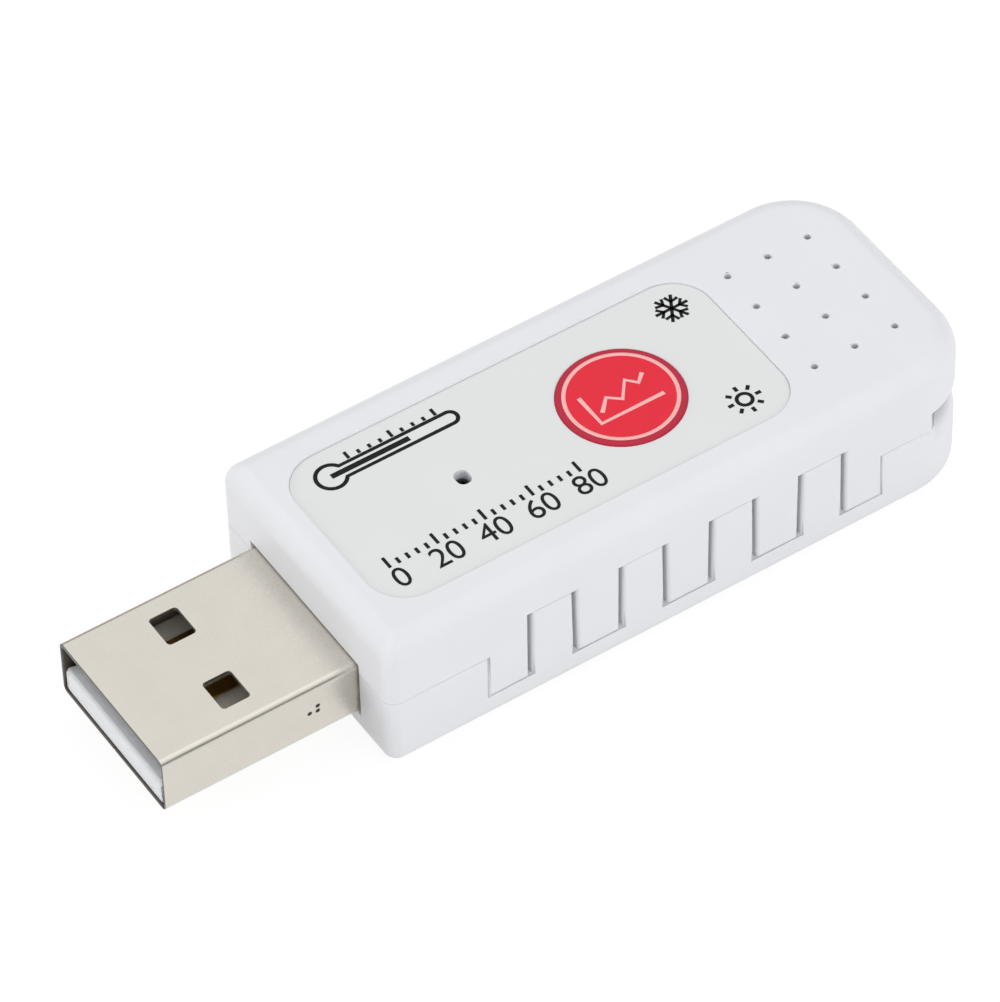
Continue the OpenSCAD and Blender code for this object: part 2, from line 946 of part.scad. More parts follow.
module crystal_base() {
    color("gold")
        translate([crystal_x, -chip_row_y, board_z])
            linear_extrude(crystal_size[2])
                rounded_rectangle(crystal_size[0], crystal_size[1], crystal_corner_r);
}

module crystal_can() {
    color("silver")
        translate([crystal_x, -chip_row_y, board_z + crystal_size[2]])
            linear_extrude(crystal_can_size[2])
                rounded_rectangle(crystal_can_size[0], crystal_can_size[1], crystal_corner_r);
}

// The ceramic middles of a row of chip parts
module chip_part_bodies(xs, y, height) {
    for (x = xs)
        translate([
            x + chip_part_end - chip_part_size[0] / 2,
            y - chip_part_size[1] / 2,
            board_z
        ])
            cube([chip_part_size[0] - 2 * chip_part_end, chip_part_size[1], height]);
}

// The tinned ends of the same row
module chip_part_ends(xs, y, height) {
    for (x = xs)
        for (end_x = [x - chip_part_size[0] / 2, x + chip_part_size[0] / 2 - chip_part_end])
            translate([end_x, y - chip_part_size[1] / 2, board_z])
                cube([chip_part_end, chip_part_size[1], height]);
}

module capacitor_bodies() {
    color("tan")
        chip_part_bodies(capacitor_xs, -chip_row_y, capacitor_h);
}

module capacitor_ends() {
    color("silver")
        chip_part_ends(capacitor_xs, -chip_row_y, capacitor_h);
}

module resistor_bodies() {
    color("black")
        chip_part_bodies(resistor_xs, chip_row_y, resistor_h);
}

module resistor_ends() {
    color("silver")
        chip_part_ends(resistor_xs, chip_row_y, resistor_h);
}

module switch_housing() {
    color("black")
        translate([button_x, 0, 0])
            difference() {
                translate([-switch_w / 2, -switch_w / 2, board_z])
                    cube([switch_w, switch_w, switch_h]);
                translate([0, 0, dome_z])
                    cylinder(d = switch_well_d, h = case_h);
            }
}

// Steel plate over the housing, with an ear folded down each end
module switch_cover() {
    color("silver")
        translate([button_x, 0, 0])
            difference() {
                union() {
                    translate([-switch_w / 2, -switch_w / 2, switch_top_z])
                        cube([switch_w, switch_w, switch_cover_t]);
                    for (side = [0, 1])
                        mirror([side, 0, 0])
                            translate([switch_w / 2, -switch_ear_w / 2, switch_cover_z - switch_ear_l])
                                cube([switch_cover_t, switch_ear_w, switch_ear_l]);
                }
                translate([0, 0, switch_top_z - over])
                    cylinder(d = plunger_d + 2 * plunger_gap, h = switch_cover_t + 2 * over);
            }
}

module switch_plunger() {
    flange_top = switch_top_z - plunger_play;
    pip_z = dome_z + dome_rise + dome_gap;
    color("black")
        translate([button_x, 0, 0])
            rotate_extrude() {
                translate([0, flange_top])
                    square([plunger_d / 2, plunger_top_z - flange_top]);
                translate([0, flange_top - plunger_flange_t])
                    square([plunger_flange_d / 2, plunger_flange_t]);
                translate([0, pip_z])
                    square([plunger_pip_d / 2, flange_top - pip_z]);
            }
}

// A thin domed disc: the space between two spheres, cut to a round blank
module switch_dome() {
    half = dome_d / 2;
    dome_r = (half * half + dome_rise * dome_rise) / (2 * dome_rise);
    color("silver")
        translate([button_x, 0, dome_z])
            intersection() {
                translate([0, 0, dome_rise - dome_r])
                    difference() {
                        sphere(r = dome_r);
                        sphere(r = dome_r - dome_t);
                    }
                cylinder(r = half, h = dome_rise + over);
            }
}

module switch_terminals() {
    color("silver")
        at_switch_terminals()
            translate([-terminal_w / 2, 0, board_under_z - terminal_drop])
                cube([terminal_w, terminal_t, board_t + terminal_drop + terminal_h]);
}

// A cone of solder under the board, with room for the leg that it holds
module solder_cone(leg_l, leg_w, top_r) {
    difference() {
        translate([0, 0, board_under_z - solder_h])
            cylinder(r1 = solder_tip_share * top_r, r2 = top_r, h = solder_h);
        translate([-leg_l / 2 - solder_gap, -leg_w / 2 - solder_gap, 0])
            cube([leg_l + 2 * solder_gap, leg_w + 2 * solder_gap, case_h]);
    }
}

module solder_joints() {
    color("silver") {
        at_switch_terminals()
            translate([0, terminal_t / 2, 0])
                solder_cone(terminal_w, terminal_t, solder_r);
        at_shell_legs()
            translate([shell_leg_l - shell_leg_w / 2, sheet_t / 2, 0])
                solder_cone(shell_leg_w, sheet_t, leg_solder_r);
    }
}

bottom_cover();
top_cover();
label_film();
button_cap();
plug_shell();
plug_insulator();
contact_power();
contact_data_minus();
contact_data_plus();
contact_ground();
circuit_board();
controller_chip();
controller_leads();
memory_chip();
memory_leads();
temperature_sensor();
sensor_leads();
voltage_regulator();
regulator_leads();
indicator_led();
led_lens();
crystal_can();
crystal_base();
capacitor_bodies();
capacitor_ends();
resistor_bodies();
resistor_ends();
switch_housing();
switch_cover();
switch_plunger();
switch_dome();
switch_terminals();
solder_joints();
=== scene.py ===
# %% [markdown]
# # A temperature data logger
# A white stick that plugs into a computer and keeps a record of the warmth of a room. The shape
# of its parts comes from a CAD model. This file gives them their looks: soft edges, finishes and
# print. Each step says what the real piece is, how it could be made, and why this way was chosen.

# %% Tools
import math

import bmesh
import bpy
from mathutils import Matrix, Vector


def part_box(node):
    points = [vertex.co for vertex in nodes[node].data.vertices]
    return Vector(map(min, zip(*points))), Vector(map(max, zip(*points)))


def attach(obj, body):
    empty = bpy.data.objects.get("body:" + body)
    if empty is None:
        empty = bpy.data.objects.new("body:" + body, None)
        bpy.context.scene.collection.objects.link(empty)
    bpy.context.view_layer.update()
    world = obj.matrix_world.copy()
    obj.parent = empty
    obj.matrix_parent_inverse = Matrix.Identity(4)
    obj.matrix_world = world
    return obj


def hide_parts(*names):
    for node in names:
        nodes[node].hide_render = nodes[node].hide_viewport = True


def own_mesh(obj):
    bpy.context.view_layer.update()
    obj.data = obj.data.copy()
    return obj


MM = 0.001
scene = bpy.context.scene


def placed(name, data):
    """A new object of the scene that shows this data."""
    made = bpy.data.objects.new(name, data)
    scene.collection.objects.link(made)
    return made


print("Blender", bpy.app.version_string)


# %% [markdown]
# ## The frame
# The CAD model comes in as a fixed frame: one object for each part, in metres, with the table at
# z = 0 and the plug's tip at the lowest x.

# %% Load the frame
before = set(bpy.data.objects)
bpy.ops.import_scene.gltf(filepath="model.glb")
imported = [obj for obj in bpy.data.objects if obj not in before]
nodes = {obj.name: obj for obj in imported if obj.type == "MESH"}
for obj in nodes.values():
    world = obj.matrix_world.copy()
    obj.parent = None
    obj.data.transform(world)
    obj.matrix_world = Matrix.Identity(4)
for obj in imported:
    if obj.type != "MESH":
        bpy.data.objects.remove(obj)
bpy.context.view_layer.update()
print("parts in the frame:", len(nodes))


# %% [markdown]
# ## The camera
# A small object is photographed from afar with a long lens, so that its far end isn't much
# smaller than its near end. The camera is placed by the direction it looks from, as an azimuth
# and an elevation, then rolled a little, as a hand-held camera is.

# %% Camera
AZIMUTH, ELEVATION, ROLL = math.radians(-32.24), math.radians(47.83), math.radians(-1.74)
CAMERA_PLACE = Vector((-150.92, -237.69, 317.01)) * MM
LENS = 241.4

back = Vector((
    math.sin(AZIMUTH) * math.cos(ELEVATION),
    -math.cos(AZIMUTH) * math.cos(ELEVATION),
    math.sin(ELEVATION),
))
camera = placed("camera", bpy.data.cameras.new("camera"))
camera.data.lens = LENS
camera.data.clip_start = 0.01
camera.data.clip_end = 10
turn = (-back).to_track_quat("-Z", "Y").to_matrix() @ Matrix.Rotation(ROLL, 3, "Z")
camera.matrix_world = Matrix.Translation(CAMERA_PLACE) @ turn.to_4x4()
scene.camera = camera
print("camera looks along", [round(v, 3) for v in -back])


# %% [markdown]
# ## Writing shaders as sums
# A finish is a sum of simple patterns. Wiring each Math node by hand is slow to write and to
# read. The small class below wraps one socket, so that `a * 2 + b` adds the nodes by itself.
# Anything that isn't plain arithmetic goes through one method that makes a node. The same two
# classes serve for shaders, for the world and for Geometry Nodes.

# %% Sockets that add up
class Wire:
    """One output socket, on which + - * / % and powers make Math nodes."""

    def __init__(self, board, socket):
        self.board = board
        self.socket = socket

    def _math(self, operation, *values):
        sockets = dict(enumerate(values))
        return self.board.node("ShaderNodeMath", sockets, operation=operation)

    def __add__(self, other):
        return self._math("ADD", self, other)

    def __sub__(self, other):
        return self._math("SUBTRACT", self, other)

    def __rsub__(self, other):
        return self._math("SUBTRACT", other, self)

    def __mul__(self, other):
        return self._math("MULTIPLY", self, other)

    def __truediv__(self, other):
        return self._math("DIVIDE", self, other)

    def __rtruediv__(self, other):
        return self._math("DIVIDE", other, self)

    def __pow__(self, other):
        return self._math("POWER", self, other)

    def __mod__(self, other):
        return self._math("MODULO", self, other)

    def at_most(self, other):
        return self._math("MINIMUM", self, other)

    def at_least(self, other):
        return self._math("MAXIMUM", self, other)

    def size(self):
        return self._math("ABSOLUTE", self)

    def other(self, name):
        """Another output of the same node."""
        return Wire(self.board, self.socket.node.outputs[name])

    __radd__ = __add__
    __rmul__ = __mul__


# %% [markdown]
# A socket belongs to a node, and a node to a tree. This class holds one tree and has the one way
# to add a node to it. The settings come first, because some of them change which sockets a node
# has, and then the values and wires of its sockets. Two helpers do what most finishes need: a
# smooth step between two levels, and the three numbers of a vector.

# %% Boards that hold nodes
class Board:
    """A node tree and the one way to add a node to it."""

    def __init__(self, tree):
        self.tree = tree

    def node(self, kind, sockets=None, output=0, **settings):
        """Adds a node: its settings first, then the values or wires of its sockets."""
        made = self.tree.nodes.new(kind)
        for name, value in settings.items():
            setattr(made, name, value)
        for name, value in (sockets or {}).items():
            if isinstance(value, Wire):
                self.tree.links.new(value.socket, made.inputs[name])
            else:
                made.inputs[name].default_value = value
        return Wire(self, made.outputs[output]) if len(made.outputs) else None

    def step(self, value, low, high):
        """0 below low, 1 above high, and smooth in between."""
        sockets = {"Value": value, "From Min": low, "From Max": high}
        return self.node("ShaderNodeMapRange", sockets, interpolation_type="SMOOTHSTEP")

    def parts(self, vector):
        """The three numbers of a vector."""
        x = self.node("ShaderNodeSeparateXYZ", {0: vector})
        return x, x.other("Y"), x.other("Z")


# %% [markdown]
# ## Light
# A white object on white needs even light that still comes mostly from above, or its faces all
# turn the same grey. A pale world lights everything, one large lamp overhead keeps the top the
# brightest, and two low ones lift the long side wall and the front end. None of them shows in
# metal, where their outlines would glare. The camera sees the world plain white. A mirror sees it
# white too, but for a darker band low round the horizon. Photographers hang dark cards there,
# because a bent metal edge needs something dark to reflect. Straight overhead the mirror sees it
# a little brighter, which gives the same edge its line of light.

# %% World
scene.view_settings.view_transform = "Standard"
WORLD_LEVEL = 0.63
BAND_DEPTH, BAND_FOOT, BAND_TOP = 0.8, (0.02, 0.12), (0.42, 0.56)
ZENITH_GAIN, ZENITH_EDGE = 0.3, (0.8, 0.88)

world = bpy.data.worlds.new("studio")
scene.world = world
world.use_nodes = True
world.node_tree.nodes.clear()
sky = Board(world.node_tree)
ray = sky.node("ShaderNodeLightPath")
direct = ray.other("Is Camera Ray").at_least(ray.other("Is Transmission Ray"))
mirrored = ray.other("Is Glossy Ray")
height = sky.parts(sky.node("ShaderNodeTexCoord", output="Generated"))[2]
band = sky.step(height, *BAND_FOOT) * (1 - sky.step(height, *BAND_TOP))
zenith = sky.step(height, *ZENITH_EDGE) * ZENITH_GAIN
in_mirror = mirrored * (1 - band * BAND_DEPTH + zenith) + (1 - mirrored) * WORLD_LEVEL
strength = direct + (1 - direct) * in_mirror
shine = sky.node("ShaderNodeBackground", {"Color": (1, 1, 1, 1), "Strength": strength})
sky.node("ShaderNodeOutputWorld", {"Surface": shine})
print("nodes of the world:", len(world.node_tree.nodes))


# %% [markdown]
# Large lamps give soft shadows. What counts is how much light arrives at the object, and that
# falls with the square of the distance. So each lamp is given by the level that it adds there,
# and its power is worked out from the level and its place.

# %% Lamps
def soft_lamp(name, place, size, level):
    """A square lamp at place, in metres, that faces the object and adds that much white light."""
    lamp = placed(name, bpy.data.lights.new(name, "AREA"))
    lamp.data.shape = "SQUARE"
    lamp.data.size = size
    direction = Vector(place)
    lamp.data.energy = level * math.pi ** 2 * direction.length_squared
    lamp.visible_glossy = False
    lamp.matrix_world = (
        Matrix.Translation(direction)
        @ direction.to_track_quat("Z", "Y").to_matrix().to_4x4()
    )
    return lamp


soft_lamp("overhead", (0.25, 0.26, 0.82), 0.8, 0.21)
soft_lamp("long side", (0.2, -0.75, 0.42), 0.6, 0.32)
soft_lamp("front end", (-0.77, 0.28, 0.2), 0.5, 0.35)


# %% [markdown]
# ## Helpers for finishes
# A colour is easiest to pick as it looks on a screen, from 0 to 255, but a shader works with
# linear light, so it is converted. Every finish then starts from the same few things: the place
# on the piece in metres, soft noise with a grain of a known size, a blend of two colours, and
# fine relief. They are written once, here, so that each finish is only a few lines.

# %% Helpers for finishes
def colour(red, green, blue):
    """A screen colour from 0 to 255 as the linear colour that a shader takes."""
    def linear(value):
        share = value / 255
        return share / 12.92 if share < 0.04045 else ((share + 0.055) / 1.055) ** 2.4
    return (linear(red), linear(green), linear(blue), 1)


class Finish(Board):
    """A material under construction, with the patterns that most finishes use."""

    def __init__(self, name):
        self.material = bpy.data.materials.new(name)
        self.material.use_nodes = True
        super().__init__(self.material.node_tree)
        self.tree.nodes.clear()
        self.place = self.node("ShaderNodeTexCoord", output="Object")

    def noise(self, grain, detail=2, stretch=(1, 1, 1)):
        """Soft noise, 0 to 1, whose grains are that many metres across, longer by stretch."""
        scale = tuple(1 / (grain * s) for s in stretch)
        spot = self.node("ShaderNodeMapping", {"Vector": self.place, "Scale": scale})
        return self.node("ShaderNodeTexNoise", {"Vector": spot, "Scale": 1, "Detail": detail})

    def blend(self, share, first, second):
        """A colour that goes from first to second as share goes from 0 to 1."""
        sockets = {0: share, 6: first, 7: second}
        return self.node("ShaderNodeMix", sockets, output=2, data_type="RGBA")

    def bump(self, height, depth, strength=1):
        """A normal that follows height, 0 to 1, as relief that deep in metres."""
        sockets = {"Height": height, "Distance": depth, "Strength": strength}
        return self.node("ShaderNodeBump", sockets)

    def surface(self, **sockets):
        """Ends the material in one Principled shader, whose sockets are named as arguments."""
        named = {
            name.replace("_", " ").title().replace("Ior", "IOR"): value
            for name, value in sockets.items()
        }
        return self.end(self.node("ShaderNodeBsdfPrincipled", named))

    def end(self, shader):
        """Sends a shader to the material's output."""
        self.node("ShaderNodeOutputMaterial", {"Surface": shader})
        return self.material


# %% [markdown]
# ## The floor
# A single large sheet. Its shader asks which kind of ray looks at it. The camera and the metal
# see clean white paper that a shadow darkens only a little. All other rays see plain matt paper,
# which throws light back up onto the sides.

# %% Floor
PAPER_GLOW = 0.88


def grey(level):
    return (level, level, level, 1)


def floor_finish():
    paper = Finish("floor")
    ray = paper.node("ShaderNodeLightPath")
    seen = ray.other("Is Camera Ray").at_least(ray.other("Is Glossy Ray"))
    seen = seen.at_least(ray.other("Is Transmission Ray"))
    fibres = paper.noise(0.02)
    bounce = paper.node("ShaderNodeBsdfDiffuse", {"Color": grey(0.86)})
    shaded = paper.blend(fibres, grey(0.15), grey(0.16))
    matt = paper.node("ShaderNodeBsdfDiffuse", {"Color": shaded})
    glow = paper.node("ShaderNodeEmission", {"Color": grey(1), "Strength": PAPER_GLOW})
    white = paper.node("ShaderNodeAddShader", {0: matt, 1: glow})
    both = paper.node("ShaderNodeMixShader", {0: seen, 1: bounce, 2: white})
    return paper.end(both)


# %% [markdown]
# The sheet lies a hair below the table's height, so that it never touches the underside. It
# belongs to the studio and not to the object.

# %% Floor sheet
FLOOR_HALF, FLOOR_HEIGHT = 1.5, -0.02 * MM


def flat_sheet(name, half, height, material):
    mesh = bpy.data.meshes.new(name)
    spots = [(-half, -half), (half, -half), (half, half), (-half, half)]
    mesh.from_pydata([(x, y, height) for x, y in spots], [], [(0, 1, 2, 3)])
    mesh.materials.append(material)
    return placed(name, mesh)


flat_sheet("floor", FLOOR_HALF, FLOOR_HEIGHT, floor_finish())
print("floor sheet in m:", 2 * FLOOR_HALF)


# %% [markdown]
# ## White moulded plastic
# The case comes from a mould that was lightly blasted, which leaves a satin skin: grains of
# about a tenth of a millimetre that scatter the shine. Three noises make it: a wide one for a
# faint unevenness of colour, one for roughness and a fine one as relief. The bore of the
# indicator's window is painted dark grey inside, deeper down, as painted shade. That painted
# shade is a mask: near the bore's axis, below the bore's first half millimetre, and no lower
# than the upper shell. Another mask paints shade into the groove round the rear end, which
# fingers reach into: the white greys with the depth inside the end's rounded outline. Each pair
# of places below says where such a mask is 0 and where it is 1.

# %% Case plastic
LED_X = sum(corner.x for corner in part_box("led_lens")) / 2
CASE_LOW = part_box("bottom_cover")[0]
CASE_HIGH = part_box("top_cover")[1]
REAR_R = 5.1 * MM
BORE_SHADE_R = (0.72 * MM, 0.66 * MM)
BORE_SHADE_TOP, BORE_SHADE_FOOT = (10 * MM, 9.75 * MM), (6 * MM, 6.2 * MM)
GROOVE_SHADE_DEPTH, GROOVE_SHADE_FRONT = (0.1 * MM, 0.7 * MM), (25.3 * MM, 25.5 * MM)
GROOVE_SHADE_FOOT, GROOVE_SHADE_TOP = (4.2 * MM, 4.6 * MM), (7.1 * MM, 7 * MM)


def case_plastic():
    skin = Finish("case_plastic")
    x, y, z = skin.parts(skin.place)
    from_axis = ((x - LED_X) ** 2 + y ** 2) ** 0.5
    # painted shade: the walls of the indicator's bore turn dark grey below its rim
    painted_bore_shade = skin.step(from_axis, *BORE_SHADE_R) * skin.step(z, *BORE_SHADE_TOP)
    painted_bore_shade = painted_bore_shade * skin.step(z, *BORE_SHADE_FOOT)
    past_x = (x - (CASE_HIGH.x - REAR_R)).at_least(0)
    past_y = (y.size() - (CASE_HIGH.y - REAR_R)).at_least(0)
    depth = REAR_R - (past_x ** 2 + past_y ** 2) ** 0.5
    # painted shade: the rear groove greys with its depth inside the rounded outline
    painted_groove_shade = skin.step(depth, *GROOVE_SHADE_DEPTH) * skin.step(x, *GROOVE_SHADE_FRONT)
    painted_groove_shade = painted_groove_shade * skin.step(z, *GROOVE_SHADE_FOOT) * skin.step(z, *GROOVE_SHADE_TOP)
    cloud = skin.noise(4 * MM)
    grain = skin.noise(0.09 * MM, detail=3)
    white = skin.blend(cloud, colour(228, 229, 233), colour(232, 233, 236))
    # painted shade greys the white in the rear groove
    white = skin.blend(painted_groove_shade, white, colour(192, 193, 197))
    # the bore's painted shade goes into the base colour last
    return skin.surface(
        base_color=skin.blend(painted_bore_shade, white, colour(96, 96, 98)),
        roughness=skin.noise(0.6 * MM) * 0.08 + 0.4,
        normal=skin.bump(grain, 0.004 * MM, 0.35),
        specular_ior_level=0.45,
    )


CASE = case_plastic()
print("nodes of the case plastic:", len(CASE.node_tree.nodes))


# %% [markdown]
# ## Film, red button and inks
# The label is a polyester film. Its satin skin has the faint waves of a sheet that was pressed
# down by hand. The button is a smooth red, painted darker round its rim, outside the printed
# ring, as painted shade round the button's edge.
# Ink is screen printed on top, in a thin and dry layer.

# %% Film, button and inks
def film_finish():
    film = Finish("label_film")
    waves = film.noise(1.2 * MM, detail=1)
    return film.surface(
        base_color=film.blend(film.noise(6 * MM), colour(223, 225, 226), colour(227, 229, 228)),
        roughness=film.noise(0.5 * MM) * 0.06 + 0.3,
        normal=film.bump(waves, 0.01 * MM, 0.4),
    )


def button_finish(centre_x, ring_r):
    red = Finish("button_red")
    x, y, z = red.parts(red.place)
    away = ((x - centre_x) ** 2 + y ** 2) ** 0.5
    rim = red.step(away, ring_r - 0.08 * MM, ring_r + 0.08 * MM)
    face = red.blend(red.noise(1.5 * MM), colour(226, 34, 54), colour(231, 40, 60))
    # painted shade: a darker red outside the printed ring, round the button's edge
    return red.surface(
        base_color=red.blend(rim, face, colour(184, 36, 62)),
        specular_ior_level=0.25,
        roughness=red.noise(0.4 * MM) * 0.06 + 0.32,
        normal=red.bump(red.noise(0.12 * MM), 0.003 * MM, 0.3),
    )


def ink(name, shade, lighter):
    dry = Finish(name)
    return dry.surface(
        base_color=dry.blend(dry.noise(0.2 * MM), shade, lighter),
        specular_ior_level=0.2,
        roughness=dry.noise(0.3 * MM) * 0.1 + 0.45,
    )


BUTTON_X = sum(corner.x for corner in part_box("button_cap")) / 2
RING_R = 3.61 * MM
FILM = film_finish()
RED = button_finish(BUTTON_X, RING_R)
BLACK_INK = ink("black_ink", colour(14, 14, 17), colour(24, 24, 28))
PALE_INK = ink("pale_ink", colour(250, 182, 180), colour(253, 191, 189))
print("button centre in mm:", round(BUTTON_X / MM, 3))


# %% [markdown]
# ## Metals
# The plug is folded steel with a satin nickel plate. Rolling the sheet leaves fine lines along
# it, so the noise is stretched in that direction. Contacts are gilded, and leads and caps tinned.

# %% Metals
def plate(name, shade, lighter, rough, grain, stretch, relief):
    metal = Finish(name)
    lines = metal.noise(grain, detail=3, stretch=stretch)
    return metal.surface(
        base_color=metal.blend(metal.noise(2.5 * MM), shade, lighter),
        metallic=1,
        roughness=lines * 0.12 + rough,
        normal=metal.bump(lines, relief, 0.4),
    )


GOLD = plate(
    "contact_gold", colour(204, 164, 92), colour(218, 180, 108),
    rough=0.24, grain=0.05 * MM, stretch=(12, 1, 1), relief=0.002 * MM,
)
TIN = plate(
    "tinned_metal", colour(198, 200, 202), colour(216, 217, 218),
    rough=0.3, grain=0.12 * MM, stretch=(1, 1, 1), relief=0.006 * MM,
)
STEEL = plate(
    "switch_steel", colour(176, 177, 178), colour(192, 192, 192),
    rough=0.28, grain=0.06 * MM, stretch=(1, 16, 1), relief=0.003 * MM,
)
print("metals:", [metal.name for metal in (GOLD, TIN, STEEL)])


# %% [markdown]
# The plug's shell has more to it. Its cut edges at the mouth show bare grey steel. Its inside is
# rougher and painted dark as painted shade, darker further in from the mouth, except overhead
# near the mouth, where the bright nickel stays. Further in, where the two latch windows let in
# light, it is painted paler again as painted light. One side carries three small punch marks,
# where the folded sheet was staked to the plastic inside; they are painted dark brown as painted
# shade in their dimples. All of these are masks made from the place on the piece: the mouth is a
# range of x, the inside a range of y and z, and a mark is a small disc.

# %% Plug shell
PLUG_LOW, PLUG_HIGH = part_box("plug_shell")
PLUG_HALF, PLUG_TOP, PLUG_BOTTOM = PLUG_HIGH.y, PLUG_HIGH.z, PLUG_LOW.z
SHEET = 0.3 * MM
STAKES = ((-19, 4.12), (-18.4, 4.5), (-18.42, 4.05))
STAKE_EDGE = (0.21 * MM, 0.12 * MM)


def plug_nickel():
    metal = Finish("plug_nickel")
    x, y, z = metal.parts(metal.place)
    lines = metal.noise(0.06 * MM, detail=3, stretch=(16, 1, 1))
    specks = metal.noise(0.16 * MM, detail=4)
    tip = PLUG_LOW.x
    mouth = metal.step(x, tip + 0.05 * MM, tip + 0.02 * MM)
    near, far = 0.1 * MM, 0.16 * MM
    across = metal.step(y.size(), PLUG_HALF - near, PLUG_HALF - far)
    above = metal.step(z, PLUG_BOTTOM + near, PLUG_BOTTOM + far)
    below = metal.step(z, PLUG_TOP - near, PLUG_TOP - far)
    depth = metal.step(x, tip - 0.5 * MM, tip + 1.6 * MM)
    overhead = metal.step(z, PLUG_TOP - 0.6 * MM, PLUG_TOP - 0.45 * MM)
    inside = across * above * below * (1 - overhead * (1 - depth))
    stakes = 0
    for stake_x, stake_z in STAKES:
        reach = ((x - stake_x * MM) ** 2 + (z - stake_z * MM) ** 2) ** 0.5
        stakes = metal.step(reach, *STAKE_EDGE) + stakes
    stakes = stakes * metal.step(y, 1 * MM - PLUG_HALF, 0.8 * MM - PLUG_HALF)
    bright = metal.blend(metal.noise(2 * MM), colour(213, 208, 198), colour(219, 215, 206))
    # painted shade: the inside of the shell darkens further in from the mouth
    painted_inner_shade = metal.blend(depth, colour(116, 111, 104), colour(74, 70, 64))
    # painted light: paler again where the latch windows let light in
    behind = metal.step(x, tip + 2.5 * MM, tip + 4 * MM)
    painted_inner_shade = metal.blend(behind, painted_inner_shade, colour(170, 164, 156))
    cut = metal.blend(specks, colour(92, 91, 90), colour(124, 122, 120))
    shade = metal.blend(inside, bright, painted_inner_shade)
    shade = metal.blend(mouth, shade, cut)
    # painted shade: the punch marks are dark brown in their dimples
    shade = metal.blend(stakes, shade, colour(58, 50, 42))
    return metal.surface(
        base_color=shade,
        metallic=1,
        roughness=lines * 0.1 + specks * 0.08 + inside * 0.25 + 0.2,
        normal=metal.bump(lines * 0.5 + specks * 0.5 - stakes * 4, 0.006 * MM, 0.45),
    )


NICKEL = plug_nickel()
print("plug's section in mm:", round(2 * PLUG_HALF / MM, 2), round((PLUG_TOP - PLUG_BOTTOM) / MM, 2))


# %% [markdown]
# The tongue is one moulding, white where it shows in the mouth. Further in, under the two latch
# windows, a mask along x turns the white to a warm grey: painted shade in the throat, warmed as a
# painted reflection of the metal round it. This plastic lets some light soak in and out again,
# which softens the shade under the lip of the shell: that is what subsurface scattering is for.

# %% Tongue
def tongue_white():
    body = Finish("tongue_white")
    x, y, z = body.parts(body.place)
    speckle = body.noise(0.09 * MM, detail=3)
    deep = body.step(x, PLUG_LOW.x + 2.2 * MM, PLUG_LOW.x + 4.4 * MM)
    mouth_white = body.blend(body.noise(2 * MM), colour(223, 225, 228), colour(229, 231, 234))
    # painted shade in the throat, warm as a painted reflection of the metal round it
    painted_throat_shade = body.blend(speckle, colour(222, 216, 207), colour(234, 228, 219))
    return body.surface(
        base_color=body.blend(deep, mouth_white, painted_throat_shade),
        subsurface_weight=0.9,
        subsurface_radius=(1, 1, 1),
        subsurface_scale=1.4 * MM,
        roughness=speckle * 0.12 + 0.38,
        normal=body.bump(speckle, 0.003 * MM, 0.5),
    )


TONGUE = tongue_white()
print("nodes of the tongue's plastic:", len(TONGUE.node_tree.nodes))


# %% [markdown]
# ## Inside
# None of this shows in the photo, but it does when someone takes the covers off: a green board
# with copper tracks under its mask, black moulded chips, and ceramic parts.

# %% Board
TRACK_PITCH = 1.1 * MM
BENDS_PER_METRE = 220


def board_finish():
    mask = Finish("board_green")
    x, y, z = mask.parts(mask.place)
    bend = mask.node(
        "ShaderNodeTexNoise", {"Vector": mask.place, "Scale": BENDS_PER_METRE, "Detail": 0}
    )
    row = (y / TRACK_PITCH + (bend * 6).at_most(3)) * (math.pi * 2)
    track = mask.step(mask.node("ShaderNodeMath", {0: row}, operation="SINE"), 0.72, 0.8)
    weave = mask.noise(0.35 * MM)
    return mask.surface(
        base_color=mask.blend(track, colour(16, 92, 52), colour(34, 126, 72)),
        roughness=weave * 0.1 + 0.25,
        normal=mask.bump(track, 0.02 * MM, 0.5),
    )


BOARD = board_finish()
print("tracks in 10 mm:", round(10 * MM / TRACK_PITCH))


# %% [markdown]
# Chips, switches and small ceramic parts are pressed or moulded from powders and filled resins,
# which show as a faint speckle. One function serves them all: two close shades, how rough the
# skin is, how large a grain is and how deep.

# %% Moulded and ceramic parts
def moulded(name, shade, lighter, rough, grain, relief):
    body = Finish(name)
    speckle = body.noise(grain, detail=3)
    return body.surface(
        base_color=body.blend(speckle, shade, lighter),
        roughness=speckle * 0.15 + rough,
        normal=body.bump(speckle, relief, 0.5),
    )


CHIP = moulded("chip_black", colour(40, 40, 42), colour(56, 56, 58), 0.5, 0.06 * MM, 0.004 * MM)
SWITCH = moulded(
    "switch_black", colour(36, 36, 36), colour(50, 50, 50), 0.45, 0.07 * MM, 0.004 * MM
)
CERAMIC = moulded(
    "led_ceramic", colour(232, 228, 214), colour(240, 237, 226), 0.5, 0.1 * MM, 0.003 * MM
)
LENS = moulded("led_red", colour(196, 44, 36), colour(214, 58, 46), 0.15, 0.2 * MM, 0.002 * MM)
CRYSTAL = moulded(
    "crystal_ceramic", colour(148, 122, 84), colour(164, 138, 98), 0.5, 0.08 * MM, 0.004 * MM
)
CAPACITOR = moulded(
    "capacitor_tan", colour(176, 140, 104), colour(190, 156, 118), 0.45, 0.07 * MM, 0.004 * MM
)
RESISTOR = moulded(
    "resistor_black", colour(34, 34, 38), colour(48, 48, 54), 0.3, 0.15 * MM, 0.002 * MM
)
print("finishes made:", len(bpy.data.materials))


# %% [markdown]
# ## Which part gets which finish
# A part whose CAD shape is right stays as it is and only gets its finish.

